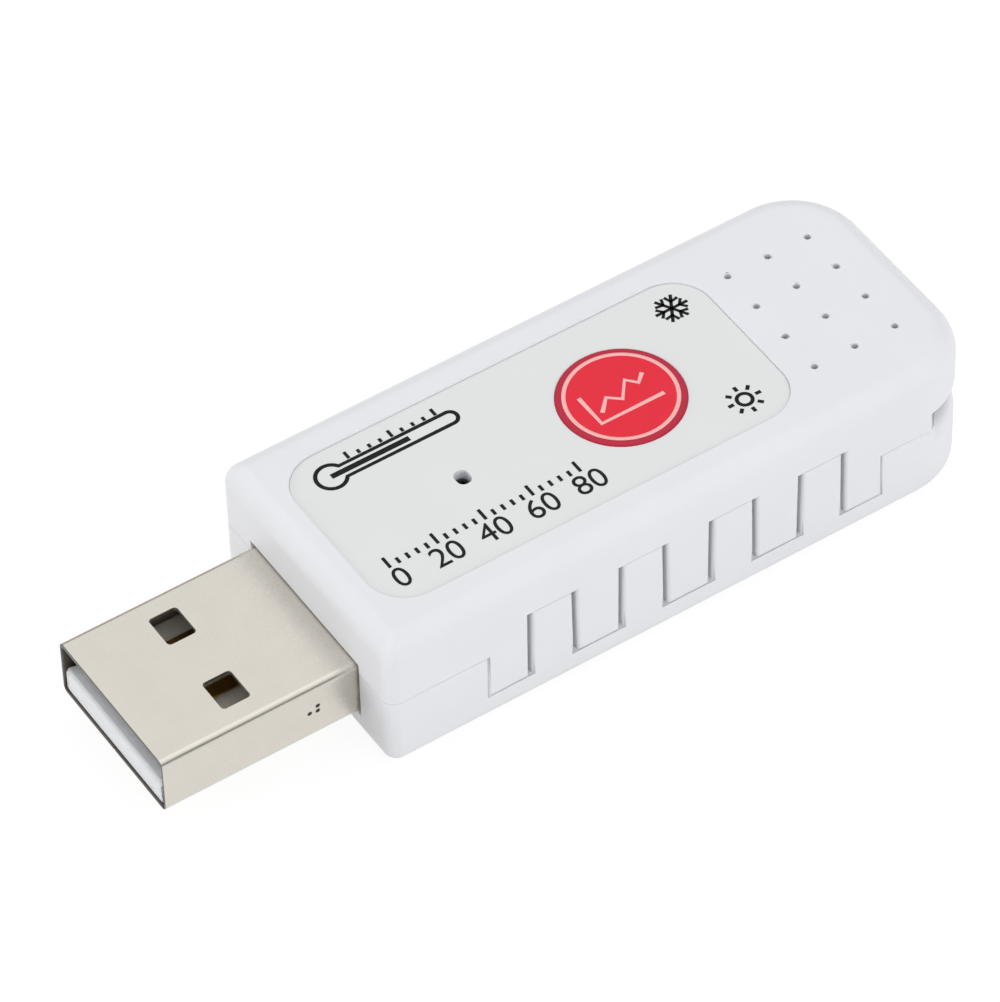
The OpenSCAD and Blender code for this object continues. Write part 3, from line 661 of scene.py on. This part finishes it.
# %% Dress the inner parts
DRESSED = {
    "circuit_board": BOARD,
    "controller_chip": CHIP,
    "memory_chip": CHIP,
    "temperature_sensor": CHIP,
    "voltage_regulator": CHIP,
    "indicator_led": CERAMIC,
    "led_lens": LENS,
    "crystal_base": CRYSTAL,
    "capacitor_bodies": CAPACITOR,
    "resistor_bodies": RESISTOR,
    "switch_housing": SWITCH,
    "switch_plunger": SWITCH,
    "switch_cover": STEEL,
}
for name in (
    "controller_leads", "memory_leads", "sensor_leads", "regulator_leads", "crystal_can",
    "capacitor_ends", "resistor_ends", "switch_terminals", "solder_joints",
):
    DRESSED[name] = TIN


def dress(piece, material):
    """Gives the whole piece one finish."""
    piece.data.materials.clear()
    piece.data.materials.append(material)


for name, material in DRESSED.items():
    dress(nodes[name], material)
print("dressed inside:", len(DRESSED))


# %% [markdown]
# ## Merged copies
# A CAD mesh is loose triangles, so it can't be edited as it is. A copy of it is merged, changed
# where the real piece differs in some small way, and its flat triangles are joined into single
# faces, so that nothing but true edges is left for the step after.

# %% Copying a part
def copied(node):
    """A bmesh copy of a CAD part, whose triangles share their points."""
    shape = bmesh.new()
    shape.from_mesh(nodes[node].data)
    bmesh.ops.remove_doubles(shape, verts=shape.verts, dist=0.0001 * MM)
    return shape


def joined(shape):
    """Joins the flat triangles of a copy into plain faces."""
    bmesh.ops.dissolve_limit(
        shape, angle_limit=math.radians(0.2), verts=shape.verts, edges=shape.edges
    )
    return shape


def in_scene(name, shape):
    """Turns a bmesh into an object of the scene."""
    mesh = bpy.data.meshes.new(name)
    shape.to_mesh(mesh)
    shape.free()
    return placed(name, mesh)


def evaluated(piece):
    """The mesh of an object with its modifiers applied."""
    return bpy.data.meshes.new_from_object(
        piece.evaluated_get(bpy.context.evaluated_depsgraph_get())
    )


# %% [markdown]
# ## Soft edges
# No moulded or folded part has a truly sharp edge: a line of light runs along each one, and that
# line is most of what tells a real thing from a plain model. A bevel goes round every edge that
# is sharper than a fillet's facets. How wide it is can differ from edge to edge: each edge gets a
# weight, and the bevel's width is multiplied by it. Weighted normals keep the flat faces flat.

# %% Turning a copy into a finished piece
SHARP = math.radians(30)


def stand_in(shape, node, name, material, body="case"):
    """Makes a merged copy a piece of the scene, which replaces its CAD part."""
    piece = in_scene(name, shape)
    piece.data.shade_smooth()
    piece.data.set_sharp_from_angle(angle=SHARP)
    dress(piece, material)
    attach(piece, body)
    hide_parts(node)
    return piece


def finished(shape, node, name, material, width, body="case", weigh=None, segments=2):
    """Makes a merged copy a stand-in whose edges are rounded by width."""
    weights = shape.edges.layers.float.new("bevel_weight_edge")
    for edge in shape.edges:
        if edge.calc_face_angle(0) > SHARP:
            edge[weights] = weigh(edge) if weigh else 1
    piece = stand_in(shape, node, name, material, body)
    bevel = piece.modifiers.new("edges", "BEVEL")
    bevel.width = width
    bevel.segments = segments
    bevel.limit_method = "WEIGHT"
    bevel.use_clamp_overlap = False
    weighted = piece.modifiers.new("flats", "WEIGHTED_NORMAL")
    weighted.keep_sharp = True
    print(name, len(piece.data.polygons), "faces before its bevel")
    return piece


# %% [markdown]
# ## The front corners of the case
# In the CAD model, the rounded edges of the front end simply cross, which leaves a small crease
# at each corner. A toolmaker rounds the crease too, as a ball of the upright edge's radius would,
# rolled up the corner and in over the top. The ball's centre follows a quarter circle, and at each
# step the ball touches the front's rounding on one side and the long side's on the other. The arc
# between the two touching points is one row of the new skin. A thin shell is built on these rows,
# reaching outwards only, and taken away from the case as a Boolean. Its rim starts a little off
# the skin, so that the cut fades in and leaves no step.

# %% Shape of one corner's waste
UPRIGHT_R = 0.95 * MM
TOP_R, BOTTOM_R = 1.56 * MM, 1 * MM
ROLL_END = math.radians(80)
WASTE_DEPTH, RIM_LIFT = 0.5 * MM, 0.02 * MM


def corner_waste(side, level, way, big_r, rows=12, columns=8):
    """The sliver outside the rolled ball at one corner, as a closed mesh object."""
    lean = big_r - UPRIGHT_R
    waste = bmesh.new()
    grid = []
    for i in range(rows + 1):
        angle = ROLL_END * i / rows
        depth, rise = big_r - lean * math.cos(angle), lean * math.sin(angle)
        centre = Vector((depth, depth, rise))
        front_way = Vector((-math.cos(angle), 0, math.sin(angle)))
        side_way = Vector((0, -math.cos(angle), math.sin(angle)))
        between = front_way.angle(side_way)
        for j in range(columns + 1):
            first, second = (1 - j / columns) * between, j / columns * between
            out = (front_way * math.sin(first) + side_way * math.sin(second)) / math.sin(between)
            rim = i in (0, rows) or j in (0, columns)
            for lift in (RIM_LIFT if rim else 0, WASTE_DEPTH):
                spot = centre + out * (UPRIGHT_R + lift)
                grid.append(waste.verts.new((
                    CASE_LOW.x + spot.x,
                    side * (CASE_HIGH.y - spot.y),
                    level + way * (spot.z - big_r),
                )))

    def face(*corners):
        waste.faces.new([grid[(i * (columns + 1) + j) * 2 + far] for i, j, far in corners])

    for far in (0, 1):
        for i in range(rows):
            for j in range(columns):
                face((i, j, far), (i + 1, j, far), (i + 1, j + 1, far), (i, j + 1, far))
    for j in (0, columns):
        for i in range(rows):
            face((i, j, 0), (i + 1, j, 0), (i + 1, j, 1), (i, j, 1))
    for i in (0, rows):
        for j in range(columns):
            face((i, j, 0), (i, j + 1, 0), (i, j + 1, 1), (i, j, 1))
    bmesh.ops.recalc_face_normals(waste, faces=waste.faces)
    return in_scene("corner_waste", waste)


# %% [markdown]
# A Boolean takes one closed shape away from another. Here each shell gets two of them as
# modifiers, one for each corner. The result is read back as a mesh, and the helpers are removed.
# The tiny edges that such a cut leaves are merged, because they would spoil the soft edges.

# %% Taking the waste away
SLIVER = 0.003 * MM


def without_corners(shape, level, way, big_r):
    """The shell's copy, less the waste at its two front corners."""
    shell = in_scene("shell", shape)
    wastes = [corner_waste(side, level, way, big_r) for side in (-1, 1)]
    for waste in wastes:
        cut = shell.modifiers.new("corner", "BOOLEAN")
        cut.operation = "DIFFERENCE"
        cut.solver = "MANIFOLD"
        cut.object = waste
    result = bmesh.new()
    result.from_mesh(evaluated(shell))
    for spent in [shell] + wastes:
        bpy.data.objects.remove(spent)
    bmesh.ops.dissolve_degenerate(result, dist=SLIVER, edges=result.edges)
    print("faces with rounded corners:", len(result.faces))
    return result


# %% [markdown]
# ## The parting line
# The two shells are pressed together, so their level seams are closed and show only as the fine
# groove between two soft edges. The CAD model leaves a small working gap there. The upper shell's
# copy is let down by most of that gap wherever it faces the lower one, and the upright faces at
# the two ends of its row of tabs move apart by as much.

# %% Closing the seams
SEAM_GAP = 0.06 * MM
SEAM_DROP = 0.045 * MM
SEAM_LEVELS = [level * MM for level in (2.16, 5.66, 7.76)]
STEP_FACES = ((-8.19 * MM, -1), (21.35 * MM, 1))
ON_FACE = 0.004 * MM


def close_seams(shape):
    moved = 0
    for vert in shape.verts:
        for face_x, way in STEP_FACES:
            if abs(vert.co.x - face_x) < ON_FACE and vert.co.z < SEAM_LEVELS[1] + 0.04 * MM:
                vert.co.x += way * SEAM_DROP
                moved += 1
        if any(abs(vert.co.z - level) < ON_FACE for level in SEAM_LEVELS):
            vert.co.z -= SEAM_DROP
            moved += 1
    print("points moved along the seams:", moved)


# %% [markdown]
# ## The groove at the rear
# A shallow groove round the rear end, along the parting line, gives a finger something to pull
# on. The CAD model has its upper half, a plain recess in the upper shell. On the lower shell the
# skin slopes inwards as it comes up to the parting line. So a rim point is put at a given depth
# inside the rounded outline, measured square to it.

# %% Depth inside the outline
GROOVE_FRONT = 25.4 * MM


def core_of(spot):
    """The nearest place to a point on the line or centre that the outline keeps its distance to."""
    at_rear = spot.x > CASE_HIGH.x - REAR_R
    radius = REAR_R if at_rear else UPRIGHT_R
    limit = CASE_HIGH.y - radius
    core_x = CASE_HIGH.x - REAR_R if at_rear else max(CASE_LOW.x + UPRIGHT_R, spot.x)
    return Vector((core_x, max(-limit, min(limit, spot.y)))), radius


def inset(spot):
    """How far inside the case's outline a point lies, seen from above."""
    core, radius = core_of(spot)
    return radius - (Vector(spot.xy) - core).length


def put_at(vert, wanted):
    """Moves a point to that depth inside the outline."""
    core, radius = core_of(vert.co)
    vert.co.xy = core + (Vector(vert.co.xy) - core).normalized() * (radius - wanted)


# %% [markdown]
# The lower shell is cut across where the groove begins and at its foot, so that it has points
# there. Then the points of its rim alone are moved inwards, and the skin between rim and foot
# becomes the slope. At both front ends the depth runs out along a smooth ramp.

# %% The groove's lower half
GROOVE_BOTTOM, GROOVE_DEPTH, GROOVE_RAMP = 4.3 * MM, 0.7 * MM, 1.2 * MM
LOWER_RIM = SEAM_LEVELS[1] - SEAM_GAP


def cut_across(shape, spot, square):
    """Adds points where a plane crosses the shape."""
    bmesh.ops.bisect_plane(
        shape, geom=list(shape.verts) + list(shape.edges) + list(shape.faces),
        dist=0.0005 * MM, plane_co=spot, plane_no=square,
    )


def lower_groove(shape):
    cut_across(shape, (GROOVE_FRONT, 0, 0), (1, 0, 0))
    for level in (GROOVE_BOTTOM, GROOVE_BOTTOM - 0.15 * MM):
        cut_across(shape, (0, 0, level), (0, 0, 1))
    moved = 0
    for vert in shape.verts:
        share = min(1, (vert.co.x - GROOVE_FRONT) / GROOVE_RAMP)
        on_rim = abs(vert.co.z - LOWER_RIM) < 0.01 * MM and inset(vert.co) < 0.03 * MM
        if share > 0.02 and on_rim:
            put_at(vert, GROOVE_DEPTH * share * share * (3 - 2 * share))
            moved += 1
    print("points of the lower rim moved:", moved)


# %% [markdown]
# The outer roundings of the case are in the CAD model already, so they get no bevel. The upright
# edges between the fingers and tabs catch the light most and are rounded most. The level seams
# are finer, and the lip of the label's recess and the holes in the top are finer again. Edges
# that lie inside hardly need any. The groove's rim gets none, since it leans already.

# %% Widths of the shells' edges
LIP, INNER, LEVEL_SEAM, END_UPRIGHT, UPRIGHT = 0.36, 0.12, 0.5, 0.6, 1
ROUNDED, NEAR = 1.7 * MM, 0.05 * MM
FIRST_FINGER, LAST_FINGER = -6 * MM, 20 * MM


def shell_weight(edge):
    """The share of the full width of bevel that an edge of a shell gets."""
    middle = (edge.verts[0].co + edge.verts[1].co) / 2
    along = edge.verts[1].co - edge.verts[0].co
    inward_x, inward_y = middle.x - CASE_LOW.x, CASE_HIGH.y - abs(middle.y)
    at_seam = BOTTOM_R < middle.z < CASE_HIGH.z - TOP_R
    if max(inward_x, inward_y) < ROUNDED and not at_seam:
        return 0
    if middle.z > CASE_HIGH.z - NEAR:
        return LIP
    rim_level = (LOWER_RIM + SEAM_LEVELS[1]) / 2
    if middle.x > GROOVE_FRONT - 0.5 * MM and abs(middle.z - rim_level) < SEAM_GAP:
        return 0
    if inset(middle) > NEAR:
        return INNER
    if abs(along.z) < 0.9 * along.length:
        return LEVEL_SEAM
    return UPRIGHT if FIRST_FINGER < middle.x < LAST_FINGER else END_UPRIGHT


# %% [markdown]
# Both shells are made in much the same way: copy, change the rim, round the corners, soften the
# edges. The upper one's seams close before its flat faces are joined, while every point is there.
# The lower one's groove comes after the joining, because a cut across plain faces is a clean one.

# %% Both shells
SHELL_EDGE = 0.25 * MM
upper = copied("top_cover")
close_seams(upper)
upper = without_corners(joined(upper), CASE_HIGH.z, 1, TOP_R)
finished(
    upper, "top_cover", "top_shell", CASE, SHELL_EDGE,
    weigh=shell_weight, segments=3,
)
lower = joined(copied("bottom_cover"))
lower_groove(lower)
lower = without_corners(lower, CASE_LOW.z, -1, BOTTOM_R)
finished(
    lower, "bottom_cover", "bottom_shell", CASE, SHELL_EDGE,
    weigh=shell_weight, segments=3,
)


# %% [markdown]
# ## The label and the button
# The film is die cut to fill its recess, so all that shows round it is the soft lip of the
# recess. Its copy is widened by most of the gap, and its hole is drawn in to just clear the
# button. Both moves are small steps away from the nearest straight or round outline. The button's
# rim is round already, so none of its edges takes a bevel.

# %% Label film and button
FILM_LOW, FILM_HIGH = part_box("label_film")
FILM_CORNER_R = 2.8 * MM
BUTTON_HEAD_R, HOLE_GAP = 4.18 * MM, 0.12 * MM


def fitted_film(spread, button_clearance):
    shape = copied("label_film")
    middle = (FILM_LOW + FILM_HIGH) / 2
    core_half = (FILM_HIGH - FILM_LOW) / 2 - Vector((FILM_CORNER_R, FILM_CORNER_R, 0))
    for vert in shape.verts:
        from_button = Vector((vert.co.x - BUTTON_X, vert.co.y))
        if from_button.length < BUTTON_HEAD_R + HOLE_GAP:
            away = from_button.normalized() * (BUTTON_HEAD_R + button_clearance)
            vert.co.x, vert.co.y = BUTTON_X + away.x, away.y
            continue
        rim = Vector((vert.co.x - middle.x, vert.co.y - middle.y))
        core = Vector([max(-core_half[i], min(core_half[i], rim[i])) for i in range(2)])
        outward = rim - core
        if outward.length > FILM_CORNER_R * 0.9:
            vert.co.xy += outward.normalized() * spread
    return joined(shape)


finished(
    fitted_film(spread=0.06 * MM, button_clearance=0.015 * MM),
    "label_film", "film_sheet", FILM, 0.02 * MM,
)
finished(
    copied("button_cap"), "button_cap", "red_button", RED, 0.03 * MM, "button",
    weigh=lambda edge: 0,
)


# %% [markdown]
# ## The plug
# The mouth of the shell is coined: a punch presses its inner edge wider, so the sheet ends in a
# thin lip and the tongue fills the mouth from edge to edge. Both copies are cut a little way
# behind the mouth, and the points in front of the cut are spread outwards, of the shell only
# those on the inside of the sheet. The tongue's two front corners are also drawn out: each of
# their points keeps its direction from the corner's centre, and gets a smaller radius and a
# centre further out.

# %% Spreading the mouth
PLUG_MIDDLE_Z = (PLUG_TOP + PLUG_BOTTOM) / 2


def spread_mouth(shape, depth, sideways, down, up, inner_only):
    """Widens a plug part from that depth up to the mouth."""
    tip = PLUG_LOW.x
    cut_across(shape, (tip + depth, 0, 0), (1, 0, 0))
    for vert in shape.verts:
        inner = (
            abs(vert.co.y) < PLUG_HALF - SHEET / 2
            and PLUG_BOTTOM + SHEET / 2 < vert.co.z < PLUG_TOP - SHEET / 2
        )
        if vert.co.x > tip + depth * 0.8 or (inner_only and not inner):
            continue
        vert.co.y *= 1 + sideways / (PLUG_HALF - SHEET)
        share = (vert.co.z - PLUG_MIDDLE_Z) / (PLUG_TOP - SHEET - PLUG_MIDDLE_Z)
        vert.co.z += share * (up if share > 0 else down)


def fuller_corners(shape, nose_x, half_width, old_r, new_r):
    """Gives the two upright corners of the tongue's nose a smaller radius."""
    for vert in shape.verts:
        side = math.copysign(1, vert.co.y)
        old = Vector((nose_x + old_r, side * (half_width - old_r)))
        away = Vector(vert.co.xy) - old
        if away.x < 0.01 * MM and away.y * side > -0.01 * MM and away.length > old_r * 0.9:
            new = Vector((nose_x + new_r, side * (half_width - new_r)))
            vert.co.xy = new + away.normalized() * new_r


# %% [markdown]
# The folded sheet keeps crisp edges. The tongue's nose is well rounded, so that it finds its way
# into a socket, and the edges behind it hardly at all. Four gilded strips lie on the tongue.

# %% Shell, tongue and contacts
folded = joined(copied("plug_shell"))
spread_mouth(
    folded, depth=1.6 * MM, sideways=0.16 * MM, down=0.05 * MM, up=0.03 * MM, inner_only=True
)
finished(folded, "plug_shell", "plug_skin", NICKEL, 0.04 * MM)

NOSE_X, TONGUE_HALF = PLUG_LOW.x + 0.05 * MM, 5.68 * MM
NOSE_END = PLUG_LOW.x + 0.75 * MM


def nose_weight(edge):
    return 1 if max(vert.co.x for vert in edge.verts) < NOSE_END else 0.07


moulding = joined(copied("plug_insulator"))
fuller_corners(moulding, NOSE_X, TONGUE_HALF, old_r=0.7 * MM, new_r=0.4 * MM)
spread_mouth(
    moulding, depth=0.7 * MM, sideways=0.13 * MM, down=0.04 * MM, up=0, inner_only=False
)
finished(
    moulding, "plug_insulator", "tongue", TONGUE, 0.3 * MM,
    weigh=nose_weight, segments=4,
)

for end in ("power", "data_minus", "data_plus", "ground"):
    finished(
        joined(copied("contact_" + end)), "contact_" + end, "strip_" + end, GOLD,
        0.02 * MM,
    )


# %% [markdown]
# ## The snap dome
# Under the button lies a thin steel dome. When the plunger bears on it, it snaps flat and springs
# back, which is the click that a finger feels.

# %% Snap dome
dome = stand_in(copied("switch_dome"), "switch_dome", "snap_dome", STEEL, "case")
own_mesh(dome)


# %% [markdown]
# ## Pieces that grow from a tree
# All the print but the numbers is made by Geometry Nodes. A tree has named inputs for its sizes
# and its ink. It ends by making its instances real, because an export drops instances, and by
# giving them the ink. The finished mesh is read back as a plain piece, and the object that grew
# it is removed. Inputs are set by each socket's identifier, since two sockets may share a name.

# %% Growing a plain mesh from a tree
def new_tree(name, **inputs):
    """A Geometry Nodes tree with named inputs, as a board and its inputs' wires."""
    tree = bpy.data.node_groups.new(name, "GeometryNodeTree")
    kinds = {"float": "NodeSocketFloat", "int": "NodeSocketInt", "ink": "NodeSocketMaterial"}
    tree.interface.new_socket("Geometry", in_out="INPUT", socket_type="NodeSocketGeometry")
    tree.interface.new_socket("Geometry", in_out="OUTPUT", socket_type="NodeSocketGeometry")
    for label, kind in inputs.items():
        tree.interface.new_socket(label, in_out="INPUT", socket_type=kinds[kind])
    board = Board(tree)
    given = board.node("NodeGroupInput")
    return board, {label: given.other(label) for label in ["Geometry", *inputs]}


def close_tree(board, geometry, ink_wire):
    """Makes the instances real, gives them their ink and ends the tree."""
    real = board.node("GeometryNodeRealizeInstances", {0: geometry})
    inked = board.node("GeometryNodeSetMaterial", {"Geometry": real, "Material": ink_wire})
    board.node("NodeGroupOutput", {0: inked})
    return board.tree


def printed(name, source, place, body):
    """Turns a source object into a plain mesh at place, which is the finished piece."""
    mesh = evaluated(source)
    bpy.data.objects.remove(source)
    mesh.name = name
    mesh.transform(Matrix.Translation(place))
    piece = placed(name, mesh)
    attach(piece, body)
    spots = [vert.co for vert in mesh.vertices]
    size = [max(spot[i] for spot in spots) - min(spot[i] for spot in spots) for i in range(3)]
    print(name, "size in mm:", [round(s / MM, 3) for s in size], len(mesh.polygons), "faces")
    return piece


def grown(name, tree, values, place, body="case", points=(), edges=()):
    """Makes a piece of what a tree grows on a small wire mesh."""
    start = bpy.data.meshes.new(name + "_path")
    start.from_pydata(list(points), list(edges), [])
    source = placed(name + "_path", start)
    modifier = source.modifiers.new("tree", "NODES")
    modifier.node_group = tree
    for item in tree.interface.items_tree:
        if item.in_out == "INPUT" and item.name in values:
            modifier[item.identifier] = values[item.name]
    return printed(name, source, place, body)


# %% [markdown]
# ## A pen for the print
# Printed lines all have one width, so they are drawn the way a pen does: a path, and a flat nib
# that is pulled along it. Curve to Mesh does that. The path is a row of points that Python works
# out, and the nib's width and the ink's thickness are inputs of the tree.

# %% The pen's tree
def pen_line(board, given):
    """Adds the nodes that pull a nib along the tree's own geometry."""
    path = board.node("GeometryNodeMeshToCurve", {0: given["Geometry"]})
    path = board.node("GeometryNodeSetCurveNormal", {"Curve": path}, mode="Z_UP")
    nib = board.node(
        "GeometryNodeCurvePrimitiveQuadrilateral",
        {"Width": given["Width"], "Height": given["Thickness"]}, mode="RECTANGLE",
    )
    return board.node(
        "GeometryNodeCurveToMesh", {"Curve": path, "Profile Curve": nib, "Fill Caps": True}
    )


def pen_tree():
    board, given = new_tree("pen", Width="float", Thickness="float", Ink="ink")
    return close_tree(board, pen_line(board, given), given["Ink"])


PEN = pen_tree()
INK_DEPTH = 0.014 * MM


def wire(paths):
    """Points and edges of a set of paths, each a list of points in mm and whether it closes."""
    points, edges = [], []
    for path, closed in paths:
        first = len(points)
        points += [(x * MM, y * MM, 0) for x, y in path]
        edges += [(first + i, first + i + 1) for i in range(len(path) - 1)]
        if closed:
            edges.append((len(points) - 1, first))
    return points, edges


def drawn(name, paths, width, place, material, body="case"):
    """Draws a set of paths in one ink."""
    points, edges = wire(paths)
    values = {"Width": width, "Thickness": INK_DEPTH, "Ink": material}
    return grown(name, PEN, values, place, body, points, edges)


def arc(centre_x, centre_y, radius, start, stop, count):
    """Points along an arc, with its angles in degrees."""
    spots = []
    for i in range(count + 1):
        angle = math.radians(start + (stop - start) * i / count)
        spots.append((centre_x + radius * math.cos(angle), centre_y + radius * math.sin(angle)))
    return spots


# %% [markdown]
# ## On the button
# A pale ring runs round the button, and inside it stands a plain sign: two axes and a jagged
# line, as on any chart of a reading over time. Both ride with the button when it is pressed.

# %% Ring and chart sign
OUTLINE_WIDTH = 0.27 * MM
on_button = Vector((BUTTON_X, 0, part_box("button_cap")[1].z + INK_DEPTH / 2))
ring = [(arc(0, 0, RING_R / MM, 0, 360, 96)[:-1], True)]
drawn("button_ring", ring, OUTLINE_WIDTH, on_button, PALE_INK, "button")
axes = [(-2.3, 1.35), (-2.3, -1.25), (2.4, -1.25)]
reading = [(-1.75, -0.5), (-0.85, 0.45), (-0.05, -0.25), (0.95, 1.05), (1.55, 0.35), (2.2, 0.95)]
chart = [(axes, False), (reading, False)]
drawn("button_sign", chart, 0.3 * MM, on_button, PALE_INK, "button")


# %% [markdown]
# ## On the label
# Four plain signs: a thermometer, a scale with plain numbers, a snowflake and a sun. The
# thermometer's outline is one closed path of two arcs and two straight lines.

# %% Thermometer sign
on_film = Vector((0, 0, FILM_HIGH.z + INK_DEPTH / 2))
BULB_X, BULB_Y, BULB_R = -10.35, 4.62, 1.0
TUBE_R, TUBE_END, COLUMN_END = 0.52, -1.6, -4.6
neck = math.degrees(math.asin(TUBE_R / BULB_R))
outline = arc(BULB_X, BULB_Y, BULB_R, neck, 360 - neck, 40)
outline += arc(TUBE_END, BULB_Y, TUBE_R, -90, 90, 14)
drawn("thermometer_outline", [(outline, True)], OUTLINE_WIDTH, on_film, BLACK_INK)
column = [([(BULB_X, BULB_Y), (COLUMN_END, BULB_Y)], False)]
drawn("thermometer_column", column, 0.4 * MM, on_film, BLACK_INK)


# %% [markdown]
# Ticks stand in a row at one pitch, and every few of them is longer. Geometry Nodes make the
# row: a line of points, one bar on each, and the bar's length from the point's number.

# %% Rows of ticks
def tick_tree():
    board, given = new_tree(
        "ticks", Count="int", Pitch="float", Short="float", Long="float", Every="int",
        Width="float", Thickness="float", Ink="ink",
    )
    pitch = board.node("ShaderNodeCombineXYZ", {0: given["Pitch"]})
    row = board.node("GeometryNodeMeshLine", {"Count": given["Count"], "Offset": pitch})
    number = board.node("GeometryNodeInputIndex")
    between = (number % given["Every"]).at_most(1)
    length = given["Long"] - (given["Long"] - given["Short"]) * between
    hang = board.node("ShaderNodeCombineXYZ", {1: length * 0.5})
    row = board.node("GeometryNodeSetPosition", {"Geometry": row, "Offset": hang})
    size = board.node("ShaderNodeCombineXYZ", {0: given["Width"], 1: 1.0, 2: given["Thickness"]})
    bar = board.node("GeometryNodeMeshCube", {"Size": size})
    stretch = board.node("ShaderNodeCombineXYZ", {0: 1.0, 1: length, 2: 1.0})
    bars = board.node("GeometryNodeInstanceOnPoints", {
        "Points": row, "Instance": bar, "Scale": stretch,
    })
    return close_tree(board, bars, given["Ink"])


TICKS = tick_tree()
TICK_WIDTH = 0.22 * MM
SCALE_X, SCALE_PITCH, TICKS_PER_NUMBER = -11.4, 0.7, 5
NUMBERS = ("0", "20", "40", "60", "80")


def ticks(name, count, pitch, short, long, every, place):
    values = {
        "Count": count, "Pitch": pitch * MM, "Short": short * MM, "Long": long * MM,
        "Every": every, "Width": TICK_WIDTH, "Thickness": INK_DEPTH, "Ink": BLACK_INK,
    }
    return grown(name, TICKS, values, place)


ticks("thermometer_ticks", 9, 0.8, 0.34, 0.62, 4, on_film + Vector((-8.6, 5.32, 0)) * MM)
scale_count = TICKS_PER_NUMBER * (len(NUMBERS) - 1) + 1
scale_start = on_film + Vector((SCALE_X, -3.75, 0)) * MM
ticks("scale_ticks", scale_count, SCALE_PITCH, 0.5, 0.95, TICKS_PER_NUMBER, scale_start)


# %% [markdown]
# ## Numbers
# The numbers use the font that comes with Blender, whose digits are 0.7 of its size high. A text
# object is filled and given the ink's thickness, made a mesh, and only then put in its place. One
# number stands below each long tick, the first a little to the right.

# %% Scale numbers
DIGIT_SHARE = 0.7
NUMBER_Y, NUMBER_HEIGHT, FIRST_SHIFT = -4.85, 1.6 * MM, 0.15


def lettered(name, words, height, place, body, material):
    """Text centred at place, with digits of that height, as a plain mesh."""
    text = bpy.data.curves.new(name, "FONT")
    text.body = words
    text.align_x = "CENTER"
    text.align_y = "CENTER"
    text.size = height / DIGIT_SHARE
    text.extrude = INK_DEPTH / 2
    piece = printed(name, placed(name + "_text", text), place, body)
    dress(piece, material)
    return piece


for i, number in enumerate(NUMBERS):
    shift = SCALE_PITCH * TICKS_PER_NUMBER * i if i else FIRST_SHIFT
    spot = on_film + Vector((SCALE_X + shift, NUMBER_Y, 0)) * MM
    lettered("scale_number_" + number, number, NUMBER_HEIGHT, spot, "case", BLACK_INK)


# %% [markdown]
# The snowflake and the sun are both one shape repeated round a centre: an arm with two twigs,
# and a ray. One tree serves for both. It takes the arm as its own geometry and turns a copy of
# it to each direction.

# %% Snowflake and sun
def star_tree():
    board, given = new_tree("star", Count="int", Width="float", Thickness="float", Ink="ink")
    arm = pen_line(board, given)
    centre = board.node("GeometryNodePoints", {"Count": given["Count"]})
    number = board.node("GeometryNodeInputIndex")
    angle = board.node("ShaderNodeCombineXYZ", {2: number / given["Count"] * (2 * math.pi)})
    turned = board.node("GeometryNodeInstanceOnPoints", {
        "Points": centre, "Instance": arm, "Rotation": angle,
    })
    return close_tree(board, turned, given["Ink"])


STAR = star_tree()


def star(name, count, paths, width, place):
    points, edges = wire([(path, False) for path in paths])
    values = {"Count": count, "Width": width, "Thickness": INK_DEPTH, "Ink": BLACK_INK}
    return grown(name, STAR, values, place, "case", points, edges)


FLAKE = Vector((15.1, 4.55, 0)) * MM
SUN = Vector((14.4, -4.5, 0)) * MM
FLAKE_WIDTH, SUN_WIDTH = 0.22 * MM, 0.25 * MM
arm = [[(0, 0), (1.2, 0)], [(0.95, 0.42), (0.58, 0), (0.95, -0.42)]]
star("snowflake", 6, arm, FLAKE_WIDTH, on_film + FLAKE)
star("sun_rays", 8, [[(0.82, 0), (1.22, 0)]], SUN_WIDTH, on_film + SUN)
disc = [(arc(0, 0, 0.5, 0, 360, 32)[:-1], True)]
drawn("sun_disc", disc, SUN_WIDTH, on_film + SUN, BLACK_INK)
